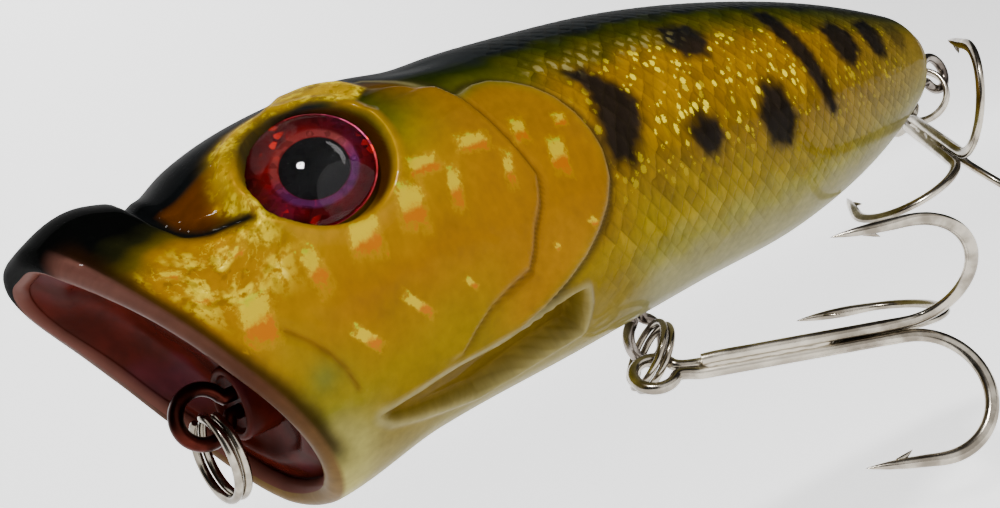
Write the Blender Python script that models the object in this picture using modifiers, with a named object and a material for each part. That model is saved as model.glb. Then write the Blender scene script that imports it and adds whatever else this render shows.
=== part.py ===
"""Topwater popper: a hollow two-piece body with a cupped mouth, wire eyes, split rings and treble hooks.

Lengths below are millimetres, with X measured back from the tip of the nose. One parent empty moves
everything so that the origin is the hole of the line tie: head towards -X, back towards +Z, left side -Y.
"""

import math

import bmesh
import bpy
import numpy as np
from mathutils import Matrix, Vector

MM = 0.001

# Body outline: distance from the nose, then the back, the belly and the half-width there.
STATION_X = (0.0, 2.2, 5.2, 7.3, 9.2, 11.9, 21.3, 34.0, 46.8, 59.5, 72.3, 80.8, 85.0)
BACK_Z = (6.5, 8.1, 9.2, 9.1, 8.8, 10.1, 12.2, 12.2, 11.9, 10.3, 7.6, 5.1, 3.6)
BELLY_Z = (-5.2, -7.5, -10.1, -10.8, -11.3, -11.8, -10.8, -10.4, -9.9, -9.5, -7.3, -4.7, -3.0)
HALF_WIDTH = (6.4, 6.7, 7.1, 7.5, 7.8, 8.4, 9.6, 9.9, 9.3, 7.9, 5.5, 3.3, 2.2)
SQUARENESS = 2.3
TAIL_ROUND_X = 81.5
BODY_LENGTH = 86.6

# The mouth is cut on a slant from the upper lip back to the chin. The cup's rows are given as a share
# of the way out from its centre to the rim, and how far in they lie.
UPPER_LIP = Vector((1.3, 0.0, 7.5))
CHIN = Vector((12.3, 0.0, -11.3))
MOUTH_BOW = 0.9
MOUTH_CENTRE = Vector((7.2, 0.0, -2.4))
MOUTH_INWARD = Vector((0.855, 0.0, 0.519))
CUP_FRONT = (
    (0.25, 3.1),
    (0.42, 3.0),
    (0.58, 2.5),
    (0.68, 1.8),
    (0.74, 0.95),
    (0.80, 0.3),
    (0.86, 0.0),
    (0.93, -0.05),
    (0.98, 0.15),
)
CUP_BACK = (
    (1.0, 0.5),
    (1.0, 0.8),
    (0.78, 0.85),
    (0.76, 1.5),
    (0.7, 2.7),
    (0.58, 3.6),
    (0.4, 4.1),
    (0.2, 4.2),
)
BOSS_RADIUS = 2.3
BOSS_DEPTHS = (1.7, 3.8)
BOSS_DISH_RADIUS = 1.75
BOSS_DISH_DEPTH = 0.5

WALL = 1.4
SHELL_SETBACK = 1.35
SEAM_HALF_GAP = 0.1
FIT_GAP = 0.3
FOIL_INSET = 1.85
FOIL_THICKNESS = 0.25
FOIL_REACH = (17.0, 65.0)
FOIL_ANGLES = (-52.0, 58.0)

# Eyes
EYE_X = 17.1
EYE_ANGLE = 33.0
EYE_AIM = Vector((-0.38, -0.83, 0.40))
SOCKET_RADIUS = 3.9
SOCKET_DEPTH = 1.75
SOCKET_WALL = 1.0
EYE_RADIUS = 3.55
EYE_STACK_GAP = 0.1
DISC_THICKNESS = 0.4
LENS_EDGE = 0.25
LENS_HEIGHT = 1.0

# Wire eyes: hole centre, the way the eye sticks out, and how deep its legs go in.
WIRE_RADIUS = 0.45
EYE_LOOP_RADIUS = 1.6
LEG_OFFSET = 0.55
FOOT_LENGTH = 1.1
LINE_TIE = Vector((8.4, 0.0, -4.1))
BELLY_EYE = Vector((41.2, 0.0, -12.0))
TAIL_EYE = Vector((87.5, 0.0, -2.2))
LINE_TIE_LEG = 9.0
BELLY_EYE_LEG = 7.2
TAIL_EYE_LEG = 11.5
SEAT_GAP = 0.3
SEAT_END_WALL = 1.6

# Split rings: two turns of wire side by side.
RING_RADIUS = 2.52
RING_WIRE = 0.26
RING_PITCH = 0.58

# Treble hooks: three bends brazed to one shank.
TREBLE_LENGTH = 21.8
TREBLE_GAP = 8.7
TREBLE_WIRE = 0.43
SHANK_OFFSET = 0.56
SHANK_START = 2.3
TREBLE_EYE_RADIUS = 1.5
POINT_LENGTH = 5.2
POINT_SLANT = 0.25
POINT_TAPER = (0.85, 0.45, 0.08)

# How each ring and treble lies: ring lean, ring strand, treble shank, and its brazed hook's side.
NOSE_LEAN = Vector((0.0, 0.0, -1.0))
NOSE_STRAND = Vector((0.0, 1.0, 0.0))
BELLY_LEAN = Vector((-0.65, -0.652, -0.389))
BELLY_STRAND = Vector((-0.373, 0.721, -0.584))
BELLY_SHANK = Vector((0.786, -0.574, -0.228))
BELLY_SINGLE = Vector((-0.208, -0.594, 0.777))
TAIL_LEAN = Vector((-0.62, 0.53, -0.58))
TAIL_STRAND = Vector((-0.111, 0.715, 0.69))
TAIL_SHANK = Vector((-0.7, -0.67, -0.26))
TAIL_SINGLE = Vector((0.567, -0.292, -0.776))

# Inside: a channel of rattle balls and a ballast slug, each in a moulded cradle.
BALL_RADIUS = 2.0
BALL_X = (49.2, 53.4, 57.6)
BALL_Z = -5.4
CHANNEL_RADIUS = 2.3
CHANNEL_REACH = (46.9, 62.0)
SLUG_RADIUS = 2.0
SLUG_REACH = (65.4, 72.6)
SLUG_Z = -3.4
SLUG_CHAMFER = 0.3
CRADLE_WALL = 0.9

ROWS_ALONG = 26
ROWS_AROUND = 11
CUP_SIDES = 32

COLOURS = {
    "body_paint": ((0.42, 0.29, 0.03), 0.2, 0.0),
    "mouth_paint": ((0.13, 0.035, 0.03), 0.3, 0.0),
    "foil": ((0.75, 0.5, 0.08), 0.22, 1.0),
    "eye_foil": ((0.5, 0.01, 0.02), 0.25, 1.0),
    "eye_lens": ((0.9, 0.85, 0.85), 0.04, 0.0),
    "wire": ((0.55, 0.54, 0.52), 0.25, 1.0),
    "nickel": ((0.66, 0.64, 0.6), 0.2, 1.0),
    "ballast": ((0.35, 0.35, 0.36), 0.4, 1.0),
}


# ---------------------------------------------------------------- scene helpers


def clear_scene():
    for obj in list(bpy.data.objects):
        bpy.data.objects.remove(obj)


def make_collection(name):
    collection = bpy.data.collections.new(name)
    bpy.context.scene.collection.children.link(collection)
    return collection


def make_material(name):
    colour, roughness, metallic = COLOURS[name]
    material = bpy.data.materials.new(name)
    material.use_nodes = True
    shader = material.node_tree.nodes["Principled BSDF"]
    shader.inputs["Base Color"].default_value = (*colour, 1.0)
    shader.inputs["Roughness"].default_value = roughness
    shader.inputs["Metallic"].default_value = metallic
    return material


clear_scene()
PARTS = make_collection("popper")
CUTTERS = make_collection("popper_cutters")
BLOCKS = make_collection("popper_moulded_blocks")
MATERIALS = {name: make_material(name) for name in COLOURS}

FRAME = bpy.data.objects.new("popper_frame", None)
FRAME.location = -LINE_TIE * MM
PARTS.objects.link(FRAME)


def add_object(name, data, material, location=(0.0, 0.0, 0.0)):
    obj = bpy.data.objects.new(name, data)
    obj.location = Vector(location) * MM
    obj.parent = FRAME
    PARTS.objects.link(obj)
    data.materials.append(MATERIALS[material])
    return obj


def add_helper(name, mesh, collection):
    """A cutter or a block that other shapes are joined with: never rendered, drawn as wire."""
    obj = bpy.data.objects.new(name, mesh)
    obj.parent = FRAME
    obj.hide_render = True
    obj.display_type = "WIRE"
    collection.objects.link(obj)
    return obj


def mesh_from(name, bm, smooth=True):
    bm.transform(Matrix.Scale(MM, 4))
    mesh = bpy.data.meshes.new(name)
    bm.to_mesh(mesh)
    bm.free()
    if smooth:
        mesh.shade_smooth()
        mesh.set_sharp_from_angle(angle=math.radians(40))
    return mesh


def box_mesh(name, low, high):
    low, high = Vector(low), Vector(high)
    bm = bmesh.new()
    bmesh.ops.create_cube(bm, size=1.0)
    size = high - low
    bmesh.ops.scale(bm, vec=size, verts=bm.verts)
    bmesh.ops.translate(bm, vec=(low + high) / 2, verts=bm.verts)
    return mesh_from(name, bm, smooth=False)


def aim(direction, origin=(0.0, 0.0, 0.0)):
    """A matrix that turns local +Z to the direction and moves the shape to the origin."""
    turn = Vector(direction).normalized().to_track_quat("Z", "Y").to_matrix().to_4x4()
    return Matrix.Translation(Vector(origin)) @ turn


def cylinder_mesh(name, start, end, radius, segments=32):
    start, end = Vector(start), Vector(end)
    bm = bmesh.new()
    depth = (end - start).length
    bmesh.ops.create_cone(
        bm, cap_ends=True, segments=segments, radius1=radius, radius2=radius, depth=depth
    )
    bm.transform(aim(end - start, (start + end) / 2))
    return mesh_from(name, bm)


def boolean(obj, operation, other=None, collection=None):
    modifier = obj.modifiers.new(operation.title(), "BOOLEAN")
    modifier.operation = operation
    modifier.solver = "EXACT"
    if collection:
        modifier.operand_type = "COLLECTION"
        modifier.collection = collection
    else:
        modifier.object = other


def wire_object(name, points, radius, material, location=(0.0, 0.0, 0.0), taper=None):
    """A round wire along the points; taper gives each point's share of the radius."""
    curve = bpy.data.curves.new(name, "CURVE")
    curve.dimensions = "3D"
    curve.bevel_depth = radius * MM
    curve.bevel_resolution = 2
    curve.use_fill_caps = True
    spline = curve.splines.new("POLY")
    spline.points.add(len(points) - 1)
    for i, point in enumerate(points):
        spline.points[i].co = (*(Vector(point) * MM), 1.0)
        spline.points[i].radius = taper[i] if taper else 1.0
    spline.use_smooth = True
    return add_object(name, curve, material, location)


# ---------------------------------------------------------------- body skin


def along(x, values):
    """The smooth curve through the values at the stations (cubic, with centred slopes)."""
    stations = np.array(STATION_X)
    values = np.array(values)
    slopes = np.gradient(values, stations)
    x = min(max(x, stations[0]), stations[-1])
    i = min(int(np.searchsorted(stations, x, side="right")) - 1, len(stations) - 2)
    step = stations[i + 1] - stations[i]
    t = (x - stations[i]) / step
    start = (1 + 2 * t) * (1 - t) ** 2 * values[i] + t * (1 - t) ** 2 * step * slopes[i]
    end = t * t * (3 - 2 * t) * values[i + 1] + t * t * (t - 1) * step * slopes[i + 1]
    return float(start + end)


def skin(x, angle, inset=0.0):
    """A point on the left side: angle -90 is the belly line, 0 the side's middle, 90 the back line."""
    back, belly, half_width = (along(x, v) for v in (BACK_Z, BELLY_Z, HALF_WIDTH))
    past = max(0.0, (x - TAIL_ROUND_X) / (BODY_LENGTH - TAIL_ROUND_X))
    rounding = math.sqrt(max(0.0, 1.0 - min(past, 1.0) ** 2.2))
    height = max((back - belly) / 2 * rounding - inset, 0.0)
    width = max(half_width * rounding - inset, 0.0)
    across, up = math.cos(math.radians(angle)), math.sin(math.radians(angle))
    y = -width * abs(across) ** (2 / SQUARENESS)
    z = (back + belly) / 2 + math.copysign(height * abs(up) ** (2 / SQUARENESS), up)
    return Vector((x, 0.0 if abs(angle) == 90 else y, z))


def rim_x(z):
    """Where the slanted, slightly bowed mouth meets the height z."""
    down = (UPPER_LIP.z - z) / (UPPER_LIP.z - CHIN.z)
    bow = MOUTH_BOW * max(0.0, 4 * down * (1 - down))
    return UPPER_LIP.x + (CHIN.x - UPPER_LIP.x) * down + bow


def rim_station(angle):
    x = MOUTH_CENTRE.x
    for _ in range(40):
        x = 0.5 * (x + rim_x(skin(x, angle).z))
    return x


def mirrored(point):
    return Vector((point.x, -point.y, point.z))


def grid_mesh(name, rows, outward):
    """Quads between the rows, facing away from the middle line when outward is true."""
    bm = bmesh.new()
    grid = [[bm.verts.new(point) for point in row] for row in rows]
    for row, following in zip(grid, grid[1:]):
        for i in range(len(row) - 1):
            bm.faces.new((row[i], row[i + 1], following[i + 1], following[i]))
    bmesh.ops.remove_doubles(bm, verts=bm.verts, dist=1e-4)
    bm.normal_update()
    side = sum(face.normal.y * face.calc_center_median().y * face.calc_area() for face in bm.faces)
    if (side > 0) != outward:
        bmesh.ops.reverse_faces(bm, faces=bm.faces)
    return mesh_from(name, bm)


def skin_rows(side, front, end, angles, inset, count):
    """Rows of skin points from the front (a distance behind the mouth, or a station) to the end."""
    rows = []
    for i in range(count):
        share = (1 - math.cos(math.pi * i / (count - 1))) / 2
        row = []
        for angle in angles:
            start = front(angle)
            point = skin(start + (end - start) * share, angle, inset)
            row.append(point if side < 0 else mirrored(point))
        rows.append(row)
    return rows


def add_solidify(obj, thickness):
    modifier = obj.modifiers.new("Wall", "SOLIDIFY")
    modifier.thickness = thickness * MM
    modifier.offset = -1.0
    modifier.use_even_offset = True


def add_half_space(side):
    """Everything on the far side of the seam, cut away from one half shell."""
    near, far = sorted((side * SEAM_HALF_GAP, -side * 30.0))
    mesh = box_mesh(f"far_side_of_{side}", (-10, near, -30), (110, far, 30))
    return add_helper(mesh.name, mesh, CUTTERS_SEAM)


def add_shell(name, side):
    angles = [-90 + 180 * i / (ROWS_AROUND - 1) for i in range(ROWS_AROUND)]
    rows = skin_rows(
        side, lambda angle: rim_station(angle) + SHELL_SETBACK, BODY_LENGTH, angles, 0.0, ROWS_ALONG
    )
    shell = add_object(name, grid_mesh(name, rows, outward=True), "body_paint")
    add_solidify(shell, WALL)
    boolean(shell, "UNION", collection=BLOCKS)
    boolean(shell, "DIFFERENCE", collection=CUTTERS)
    boolean(shell, "DIFFERENCE", other=add_half_space(side))


def eye_axis(side):
    """The eye's centre on the skin and the way it looks: out, a little forward and up."""
    centre, out = skin(EYE_X, EYE_ANGLE), EYE_AIM.normalized()
    return (centre, out) if side < 0 else (mirrored(centre), mirrored(out))


def add_foil(name, side):
    """Holographic film just inside the clear wall, with a round hole for the eye socket."""
    low, high = FOIL_ANGLES
    angles = [low + (high - low) * i / 9 for i in range(10)]
    rows = skin_rows(side, lambda angle: FOIL_REACH[0], FOIL_REACH[1], angles, FOIL_INSET, 18)
    foil = add_object(name, grid_mesh(name, rows, outward=True), "foil")
    add_solidify(foil, FOIL_THICKNESS)
    boolean(foil, "DIFFERENCE", other=FOIL_HOLES[side])


# ---------------------------------------------------------------- eyes


def lens_profile(radius, height, count=9):
    """Half of a spherical cap's outline, from its edge up to the axis."""
    sphere = (radius * radius + height * height) / (2 * height)
    half_angle = math.asin(radius / sphere)
    points = []
    for i in range(count):
        angle = half_angle * (1 - i / (count - 1))
        points.append((sphere * math.sin(angle), sphere * math.cos(angle) - sphere + height))
    return points


def turned_mesh(name, profile, matrix, steps=32):
    """A closed turned shape about +Z: the profile runs from the axis below to the axis above."""
    bm = bmesh.new()
    verts = [bm.verts.new((radius, 0.0, z)) for radius, z in profile]
    edges = [bm.edges.new(pair) for pair in zip(verts, verts[1:])]
    bmesh.ops.spin(
        bm,
        geom=verts + edges,
        axis=(0, 0, 1),
        cent=(0, 0, 0),
        steps=steps,
        angle=2 * math.pi,
        use_merge=True,
    )
    bmesh.ops.remove_doubles(bm, verts=bm.verts, dist=1e-4)
    bmesh.ops.recalc_face_normals(bm, faces=bm.faces)
    bm.transform(matrix)
    return mesh_from(name, bm)


def add_eye(label, side):
    centre, out = eye_axis(side)
    floor = centre - out * SOCKET_DEPTH
    disc_low = EYE_STACK_GAP
    disc_high = disc_low + DISC_THICKNESS
    disc_outline = [(0.0, disc_low), (EYE_RADIUS, disc_low), (EYE_RADIUS, disc_high), (0.0, disc_high)]
    disc = turned_mesh(f"eye_disc_{label}", disc_outline, aim(out, floor))
    add_object(disc.name, disc, "eye_foil")
    lens_low = disc_high + EYE_STACK_GAP
    lens_side = lens_low + LENS_EDGE
    dome = [(radius, z + lens_side) for radius, z in lens_profile(EYE_RADIUS, LENS_HEIGHT)]
    lens_outline = [(0.0, lens_low), (EYE_RADIUS, lens_low), *dome]
    lens = turned_mesh(f"eye_lens_{label}", lens_outline, aim(out, floor))
    add_object(lens.name, lens, "eye_lens")


def add_socket_helpers(side):
    centre, out = eye_axis(side)
    outer = SOCKET_RADIUS + SOCKET_WALL
    bottom = centre - out * (SOCKET_DEPTH + SOCKET_WALL)
    add_helper(
        f"socket_block_{side}", cylinder_mesh("socket_block", bottom, centre - out * 0.9, outer), BLOCKS
    )
    add_helper(
        f"socket_cut_{side}",
        cylinder_mesh("socket_cut", centre - out * SOCKET_DEPTH, centre + out * 6, SOCKET_RADIUS, 40),
        CUTTERS,
    )
    hole = cylinder_mesh("foil_hole", centre - out * 9, centre + out * 5, outer + 0.4)
    return add_helper(f"foil_hole_{side}", hole, FOIL_HELPERS)


# ---------------------------------------------------------------- mouth


def cup_ring(share, depth):
    """One closed row of the cup: a share of the way out from its centre to the rim, sunk inwards."""
    row = []
    for i in range(CUP_SIDES):
        turn = 360 * i / CUP_SIDES
        folded = (turn + 90) % 360
        angle = folded - 90 if folded <= 180 else 270 - folded
        rim = skin(rim_station(angle), angle)
        if folded > 180:
            rim = mirrored(rim)
        row.append(MOUTH_CENTRE + (rim - MOUTH_CENTRE) * share + MOUTH_INWARD * depth)
    return row


def add_mouth_cup():
    bm = bmesh.new()
    front = bm.verts.new(MOUTH_CENTRE + MOUTH_INWARD * CUP_FRONT[0][1])
    rings = [[bm.verts.new(p) for p in cup_ring(*row)] for row in (*CUP_FRONT, *CUP_BACK)]
    back = bm.verts.new(MOUTH_CENTRE + MOUTH_INWARD * CUP_BACK[-1][1])
    for i in range(CUP_SIDES):
        j = (i + 1) % CUP_SIDES
        bm.faces.new((front, rings[0][i], rings[0][j]))
        bm.faces.new((back, rings[-1][j], rings[-1][i]))
        for ring, following in zip(rings, rings[1:]):
            bm.faces.new((ring[i], following[i], following[j], ring[j]))
    bmesh.ops.recalc_face_normals(bm, faces=bm.faces)
    cup = add_object("mouth_cup", mesh_from("mouth_cup", bm), "mouth_paint")

    tie_axis = Vector((1.0, 0.0, 0.0))
    face = LINE_TIE + tie_axis * BOSS_DEPTHS[0]
    root = LINE_TIE + tie_axis * BOSS_DEPTHS[1]
    boss = add_helper("tie_boss", cylinder_mesh("tie_boss", face, root, BOSS_RADIUS), HIDDEN)
    dish_floor = face + tie_axis * BOSS_DISH_DEPTH
    dish_mesh = cylinder_mesh("tie_dish", face - tie_axis, dish_floor, BOSS_DISH_RADIUS)
    dish = add_helper("tie_dish", dish_mesh, HIDDEN)
    slot_half = LEG_OFFSET + WIRE_RADIUS + SEAT_GAP
    thick = WIRE_RADIUS + SEAT_GAP
    slot_low = LINE_TIE + Vector((0.0, -thick, -slot_half))
    slot_high = LINE_TIE + Vector((12.0, thick, slot_half))
    slot = add_helper("tie_slot", box_mesh("tie_slot", slot_low, slot_high), HIDDEN)
    boolean(cup, "UNION", other=boss)
    boolean(cup, "DIFFERENCE", other=dish)
    boolean(cup, "DIFFERENCE", other=slot)


# ---------------------------------------------------------------- wire eyes and their seats


def add_wire_eye(name, hole, outward, across, leg):
    """One wire bent into a round eye, with two legs that end in feet pointing away from each other."""
    opening = math.asin(LEG_OFFSET / EYE_LOOP_RADIUS)
    arc = []
    for i in range(19):
        turn = -math.pi + opening + (2 * math.pi - 2 * opening) * i / 18
        arc.append((EYE_LOOP_RADIUS * math.cos(turn), EYE_LOOP_RADIUS * math.sin(turn)))
    inner_side = [(-leg, -LEG_OFFSET - FOOT_LENGTH), (-leg, -LEG_OFFSET)]
    other_side = [(-leg, LEG_OFFSET), (-leg, LEG_OFFSET + FOOT_LENGTH)]
    path = [outward * p + across * q for p, q in inner_side + arc + other_side]
    wire_object(name, path, WIRE_RADIUS, "wire", location=hole)


def add_span(name, hole, outward, across, reach, half, half_thick, collection):
    """A box from one distance inside the hole to another, half as wide each way across and in Y."""
    thick = Vector((0.0, half_thick, 0.0))
    near = hole - outward * reach[0] + across * half + thick
    far = hole - outward * reach[1] - across * half - thick
    low = [min(pair) for pair in zip(near, far)]
    high = [max(pair) for pair in zip(near, far)]
    add_helper(name, box_mesh(name, low, high), collection)


def add_seat(name, hole, outward, across, leg):
    """The slot that a wire eye's legs lie in, wider at the eye itself and at the feet."""
    clear = WIRE_RADIUS + SEAT_GAP
    eye_half = EYE_LOOP_RADIUS + clear
    feet_half = LEG_OFFSET + FOOT_LENGTH + clear
    place = (hole, outward, across)
    add_span(f"{name}_slot", *place, (0.0, leg), LEG_OFFSET + clear, clear, CUTTERS)
    add_span(f"{name}_opening", *place, (0.0, eye_half), eye_half, clear, CUTTERS)
    add_span(f"{name}_feet", *place, (leg - clear, leg + clear), feet_half, clear, CUTTERS)


def add_seat_block(name, hole, outward, across, start, leg, half, half_thick):
    """The moulded block round a wire eye's legs and feet."""
    reach = (start, leg + SEAT_END_WALL)
    add_span(f"{name}_block", hole, outward, across, reach, half, half_thick, BLOCKS)


# ---------------------------------------------------------------- split rings and trebles


def basis(x_axis, y_axis):
    """Right-handed axes with +X exactly along the first and +Y as near as can be to the second."""
    x_axis = x_axis.normalized()
    y_axis = (y_axis - x_axis * x_axis.dot(y_axis)).normalized()
    return x_axis, y_axis, x_axis.cross(y_axis)


def add_split_ring(name, hole, lean, strand):
    """Two turns of wire with a step between them, hung in the hole and leaning one way."""
    out, sideways, axis = basis(lean, strand)
    points = []
    first, last, count = 20, 700, 54
    for i in range(count):
        turn = first + (last - first) * i / (count - 1)
        step = min(max((turn - 345) / 30, 0.0), 1.0)
        layer = (step * step * (3 - 2 * step) - 0.5) * RING_PITCH
        angle = math.radians(turn + 90)
        spoke = -out * math.cos(angle) + sideways * math.sin(angle)
        points.append(out * RING_RADIUS + spoke * RING_RADIUS + axis * layer)
    return wire_object(name, points, RING_WIRE, "nickel", location=hole)


def hook_path(side):
    """Shank, round bend and point of one hook, in the plane of the shank (+X) and its side."""
    bend = TREBLE_GAP / 2
    straight = TREBLE_LENGTH - bend
    path = [(straight * 0.55, SHANK_OFFSET), (straight, SHANK_OFFSET)]
    for i in range(1, 12):
        turn = math.pi * i / 12
        path.append((straight + bend * math.sin(turn), SHANK_OFFSET + bend * (1 - math.cos(turn))))
    for share in (0.0, 0.5, 0.8, 1.0):
        path.append((straight - POINT_LENGTH * share, SHANK_OFFSET + TREBLE_GAP - POINT_SLANT * share))
    taper = [1.0] * (len(path) - len(POINT_TAPER)) + list(POINT_TAPER)
    along_shank = Vector((1.0, 0.0, 0.0))
    return [along_shank * x + side * y for x, y in path], taper


def add_treble(name, hole, shank, single):
    """A double hook bent from one wire round the eye, and a single hook brazed between its shanks."""
    shank_axis, single_side, third = basis(shank, single)
    turn = Matrix((shank_axis, single_side, third)).transposed().to_4x4()

    def placed(points):
        return [turn @ point for point in points]

    def side_at(degrees):
        angle = math.radians(degrees)
        return Vector((0.0, math.cos(angle), math.sin(angle)))

    single_path, single_taper = hook_path(side_at(0))
    single_path.insert(0, Vector((SHANK_START + 1.2, SHANK_OFFSET, 0.0)))
    single_taper.insert(0, 0.8)
    wire_object(f"{name}_single_hook", placed(single_path), TREBLE_WIRE, "nickel", hole, single_taper)

    first, first_taper = hook_path(side_at(120))
    second, second_taper = hook_path(side_at(240))
    neck = math.radians(28)
    eye = []
    for i in range(15):
        angle = neck + (2 * math.pi - 2 * neck) * i / 14
        eye.append(Vector((TREBLE_EYE_RADIUS * math.cos(angle), 0.0, TREBLE_EYE_RADIUS * math.sin(angle))))
    start = side_at(120) * SHANK_OFFSET + Vector((SHANK_START + 1.0, 0.0, 0.0))
    end = side_at(240) * SHANK_OFFSET + Vector((SHANK_START + 1.0, 0.0, 0.0))
    path = first[::-1] + [start] + eye + [end] + second
    taper = first_taper[::-1] + [1.0] * (len(eye) + 2) + second_taper
    wire_object(f"{name}_double_hook", placed(path), TREBLE_WIRE, "nickel", hole, taper)


# ---------------------------------------------------------------- ballast and rattle


def add_cradle(name, reach, z, radius):
    """A round pocket along the body inside a moulded tube that is joined to the shell's floor."""
    first, last = reach
    pocket = cylinder_mesh(f"{name}_pocket", (first, 0, z), (last, 0, z), radius)
    add_helper(pocket.name, pocket, CUTTERS)
    start, end = (first - CRADLE_WALL, 0, z), (last + CRADLE_WALL, 0, z)
    tube = cylinder_mesh(f"{name}_cradle", start, end, radius + CRADLE_WALL)
    add_helper(tube.name, tube, BLOCKS)


def add_inside():
    add_cradle("rattle", CHANNEL_REACH, BALL_Z, CHANNEL_RADIUS)
    first, last = SLUG_REACH
    add_cradle("ballast", (first - FIT_GAP, last + FIT_GAP), SLUG_Z, SLUG_RADIUS + FIT_GAP)

    slug_mesh = cylinder_mesh("ballast_weight", (first, 0, 0), (last, 0, 0), SLUG_RADIUS, 24)
    slug = add_object("ballast_weight", slug_mesh, "ballast", (0, 0, SLUG_Z))
    bevel = slug.modifiers.new("Chamfer", "BEVEL")
    bevel.width = SLUG_CHAMFER * MM
    bevel.segments = 1

    for i, x in enumerate(BALL_X):
        bm = bmesh.new()
        bmesh.ops.create_uvsphere(bm, u_segments=16, v_segments=9, radius=BALL_RADIUS)
        name = f"rattle_ball_{i + 1}"
        add_object(name, mesh_from(name, bm), "ballast", (x, 0, BALL_Z))


# ---------------------------------------------------------------- assembly

HIDDEN = make_collection("popper_mouth_helpers")
CUTTERS_SEAM = make_collection("popper_seam_cutters")
FOIL_HELPERS = make_collection("popper_foil_cutters")
FOIL_HOLES = {side: add_socket_helpers(side) for side in (-1, 1)}

AHEAD = Vector((-1.0, 0.0, 0.0))
BEHIND = Vector((1.0, 0.0, 0.0))
DOWN = Vector((0.0, 0.0, -1.0))
UP = Vector((0.0, 0.0, 1.0))

add_seat("tie_seat", LINE_TIE, AHEAD, UP, LINE_TIE_LEG)
add_seat("belly_seat", BELLY_EYE, DOWN, BEHIND, BELLY_EYE_LEG)
add_seat("tail_seat", TAIL_EYE, BEHIND, UP, TAIL_EYE_LEG)
add_seat_block("belly_seat", BELLY_EYE, DOWN, BEHIND, 2.7, BELLY_EYE_LEG, 3.4, 3.2)
add_seat_block("tail_seat", TAIL_EYE, BEHIND, UP, 8.6, TAIL_EYE_LEG, 2.6, 1.5)
add_inside()

add_shell("body_shell_left", -1)
add_shell("body_shell_right", 1)
add_mouth_cup()
add_foil("foil_left", -1)
add_foil("foil_right", 1)
add_eye("left", -1)
add_eye("right", 1)

add_wire_eye("line_tie_wire", LINE_TIE, AHEAD, UP, LINE_TIE_LEG)
add_wire_eye("belly_hanger_wire", BELLY_EYE, DOWN, BEHIND, BELLY_EYE_LEG)
add_wire_eye("tail_hanger_wire", TAIL_EYE, BEHIND, UP, TAIL_EYE_LEG)

add_split_ring("nose_split_ring", LINE_TIE, NOSE_LEAN, NOSE_STRAND)
add_split_ring("belly_split_ring", BELLY_EYE, BELLY_LEAN, BELLY_STRAND)
add_split_ring("tail_split_ring", TAIL_EYE, TAIL_LEAN, TAIL_STRAND)
BELLY_TREBLE_EYE = BELLY_EYE + BELLY_LEAN.normalized() * 2 * RING_RADIUS
TAIL_TREBLE_EYE = TAIL_EYE + TAIL_LEAN.normalized() * 2 * RING_RADIUS
add_treble("belly_treble", BELLY_TREBLE_EYE, BELLY_SHANK, BELLY_SINGLE)
add_treble("tail_treble", TAIL_TREBLE_EYE, TAIL_SHANK, TAIL_SINGLE)
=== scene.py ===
import math

import bpy
import numpy as np
from mathutils import Matrix, Vector


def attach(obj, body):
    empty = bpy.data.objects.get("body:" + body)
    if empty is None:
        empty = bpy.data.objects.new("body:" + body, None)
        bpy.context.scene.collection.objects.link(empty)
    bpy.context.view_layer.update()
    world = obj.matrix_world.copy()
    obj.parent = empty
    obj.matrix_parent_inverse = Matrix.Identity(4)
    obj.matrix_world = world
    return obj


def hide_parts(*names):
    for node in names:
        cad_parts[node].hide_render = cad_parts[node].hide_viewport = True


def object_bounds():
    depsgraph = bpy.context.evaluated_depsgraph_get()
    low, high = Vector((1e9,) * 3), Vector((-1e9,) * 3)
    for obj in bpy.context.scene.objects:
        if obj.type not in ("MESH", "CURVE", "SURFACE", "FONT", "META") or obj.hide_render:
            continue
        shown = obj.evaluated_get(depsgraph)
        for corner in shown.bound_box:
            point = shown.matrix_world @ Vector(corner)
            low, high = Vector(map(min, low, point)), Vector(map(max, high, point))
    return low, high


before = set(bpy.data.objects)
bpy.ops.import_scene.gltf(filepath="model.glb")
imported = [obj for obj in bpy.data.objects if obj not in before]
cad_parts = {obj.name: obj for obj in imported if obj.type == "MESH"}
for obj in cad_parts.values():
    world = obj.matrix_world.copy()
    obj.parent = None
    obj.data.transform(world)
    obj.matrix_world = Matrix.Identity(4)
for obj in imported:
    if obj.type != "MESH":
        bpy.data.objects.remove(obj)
CAD_LOW, CAD_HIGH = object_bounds()

MM = 0.001

# ---- sizes and places, in mm from the tip of the nose

STATION_X = np.array((0.0, 2.2, 5.2, 7.3, 9.2, 11.9, 21.3, 34.0, 46.8, 59.5, 72.3, 80.8, 85.0))
BACK_Z = np.array((6.5, 8.1, 9.2, 9.1, 8.8, 10.1, 12.2, 12.2, 11.9, 10.3, 7.6, 5.1, 3.6))
BELLY_Z = np.array((-5.2, -7.5, -10.1, -10.8, -11.3, -11.8, -10.8, -10.4, -9.9, -9.5, -7.3, -4.7, -3.0))
HALF_WIDTH = np.array((6.4, 6.7, 7.1, 7.5, 7.8, 8.4, 9.6, 9.9, 9.3, 7.9, 5.5, 3.3, 2.2))
SQUARENESS = 2.3
TAIL_ROUND_X = 81.5
BODY_LENGTH = 86.6
# Angles round the body run from -90 at the belly line to 90 at the back line, where the two halves meet.
SEAM_ANGLE = 89.999
MM_PER_DEGREE = 0.185
UV_UNIT = 100.0
SCALE_LENGTH = 1.32
SCALE_HEIGHT = 1.6

UPPER_LIP = np.array((1.3, 0.0, 7.5))
CHIN = np.array((12.3, 0.0, -11.3))
MOUTH_BOW = 0.9
MOUTH_CENTRE = np.array((7.2, 0.0, -2.4))
MOUTH_INWARD = np.array((0.855, 0.0, 0.519))
LIP_RADIUS = 0.88
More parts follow.
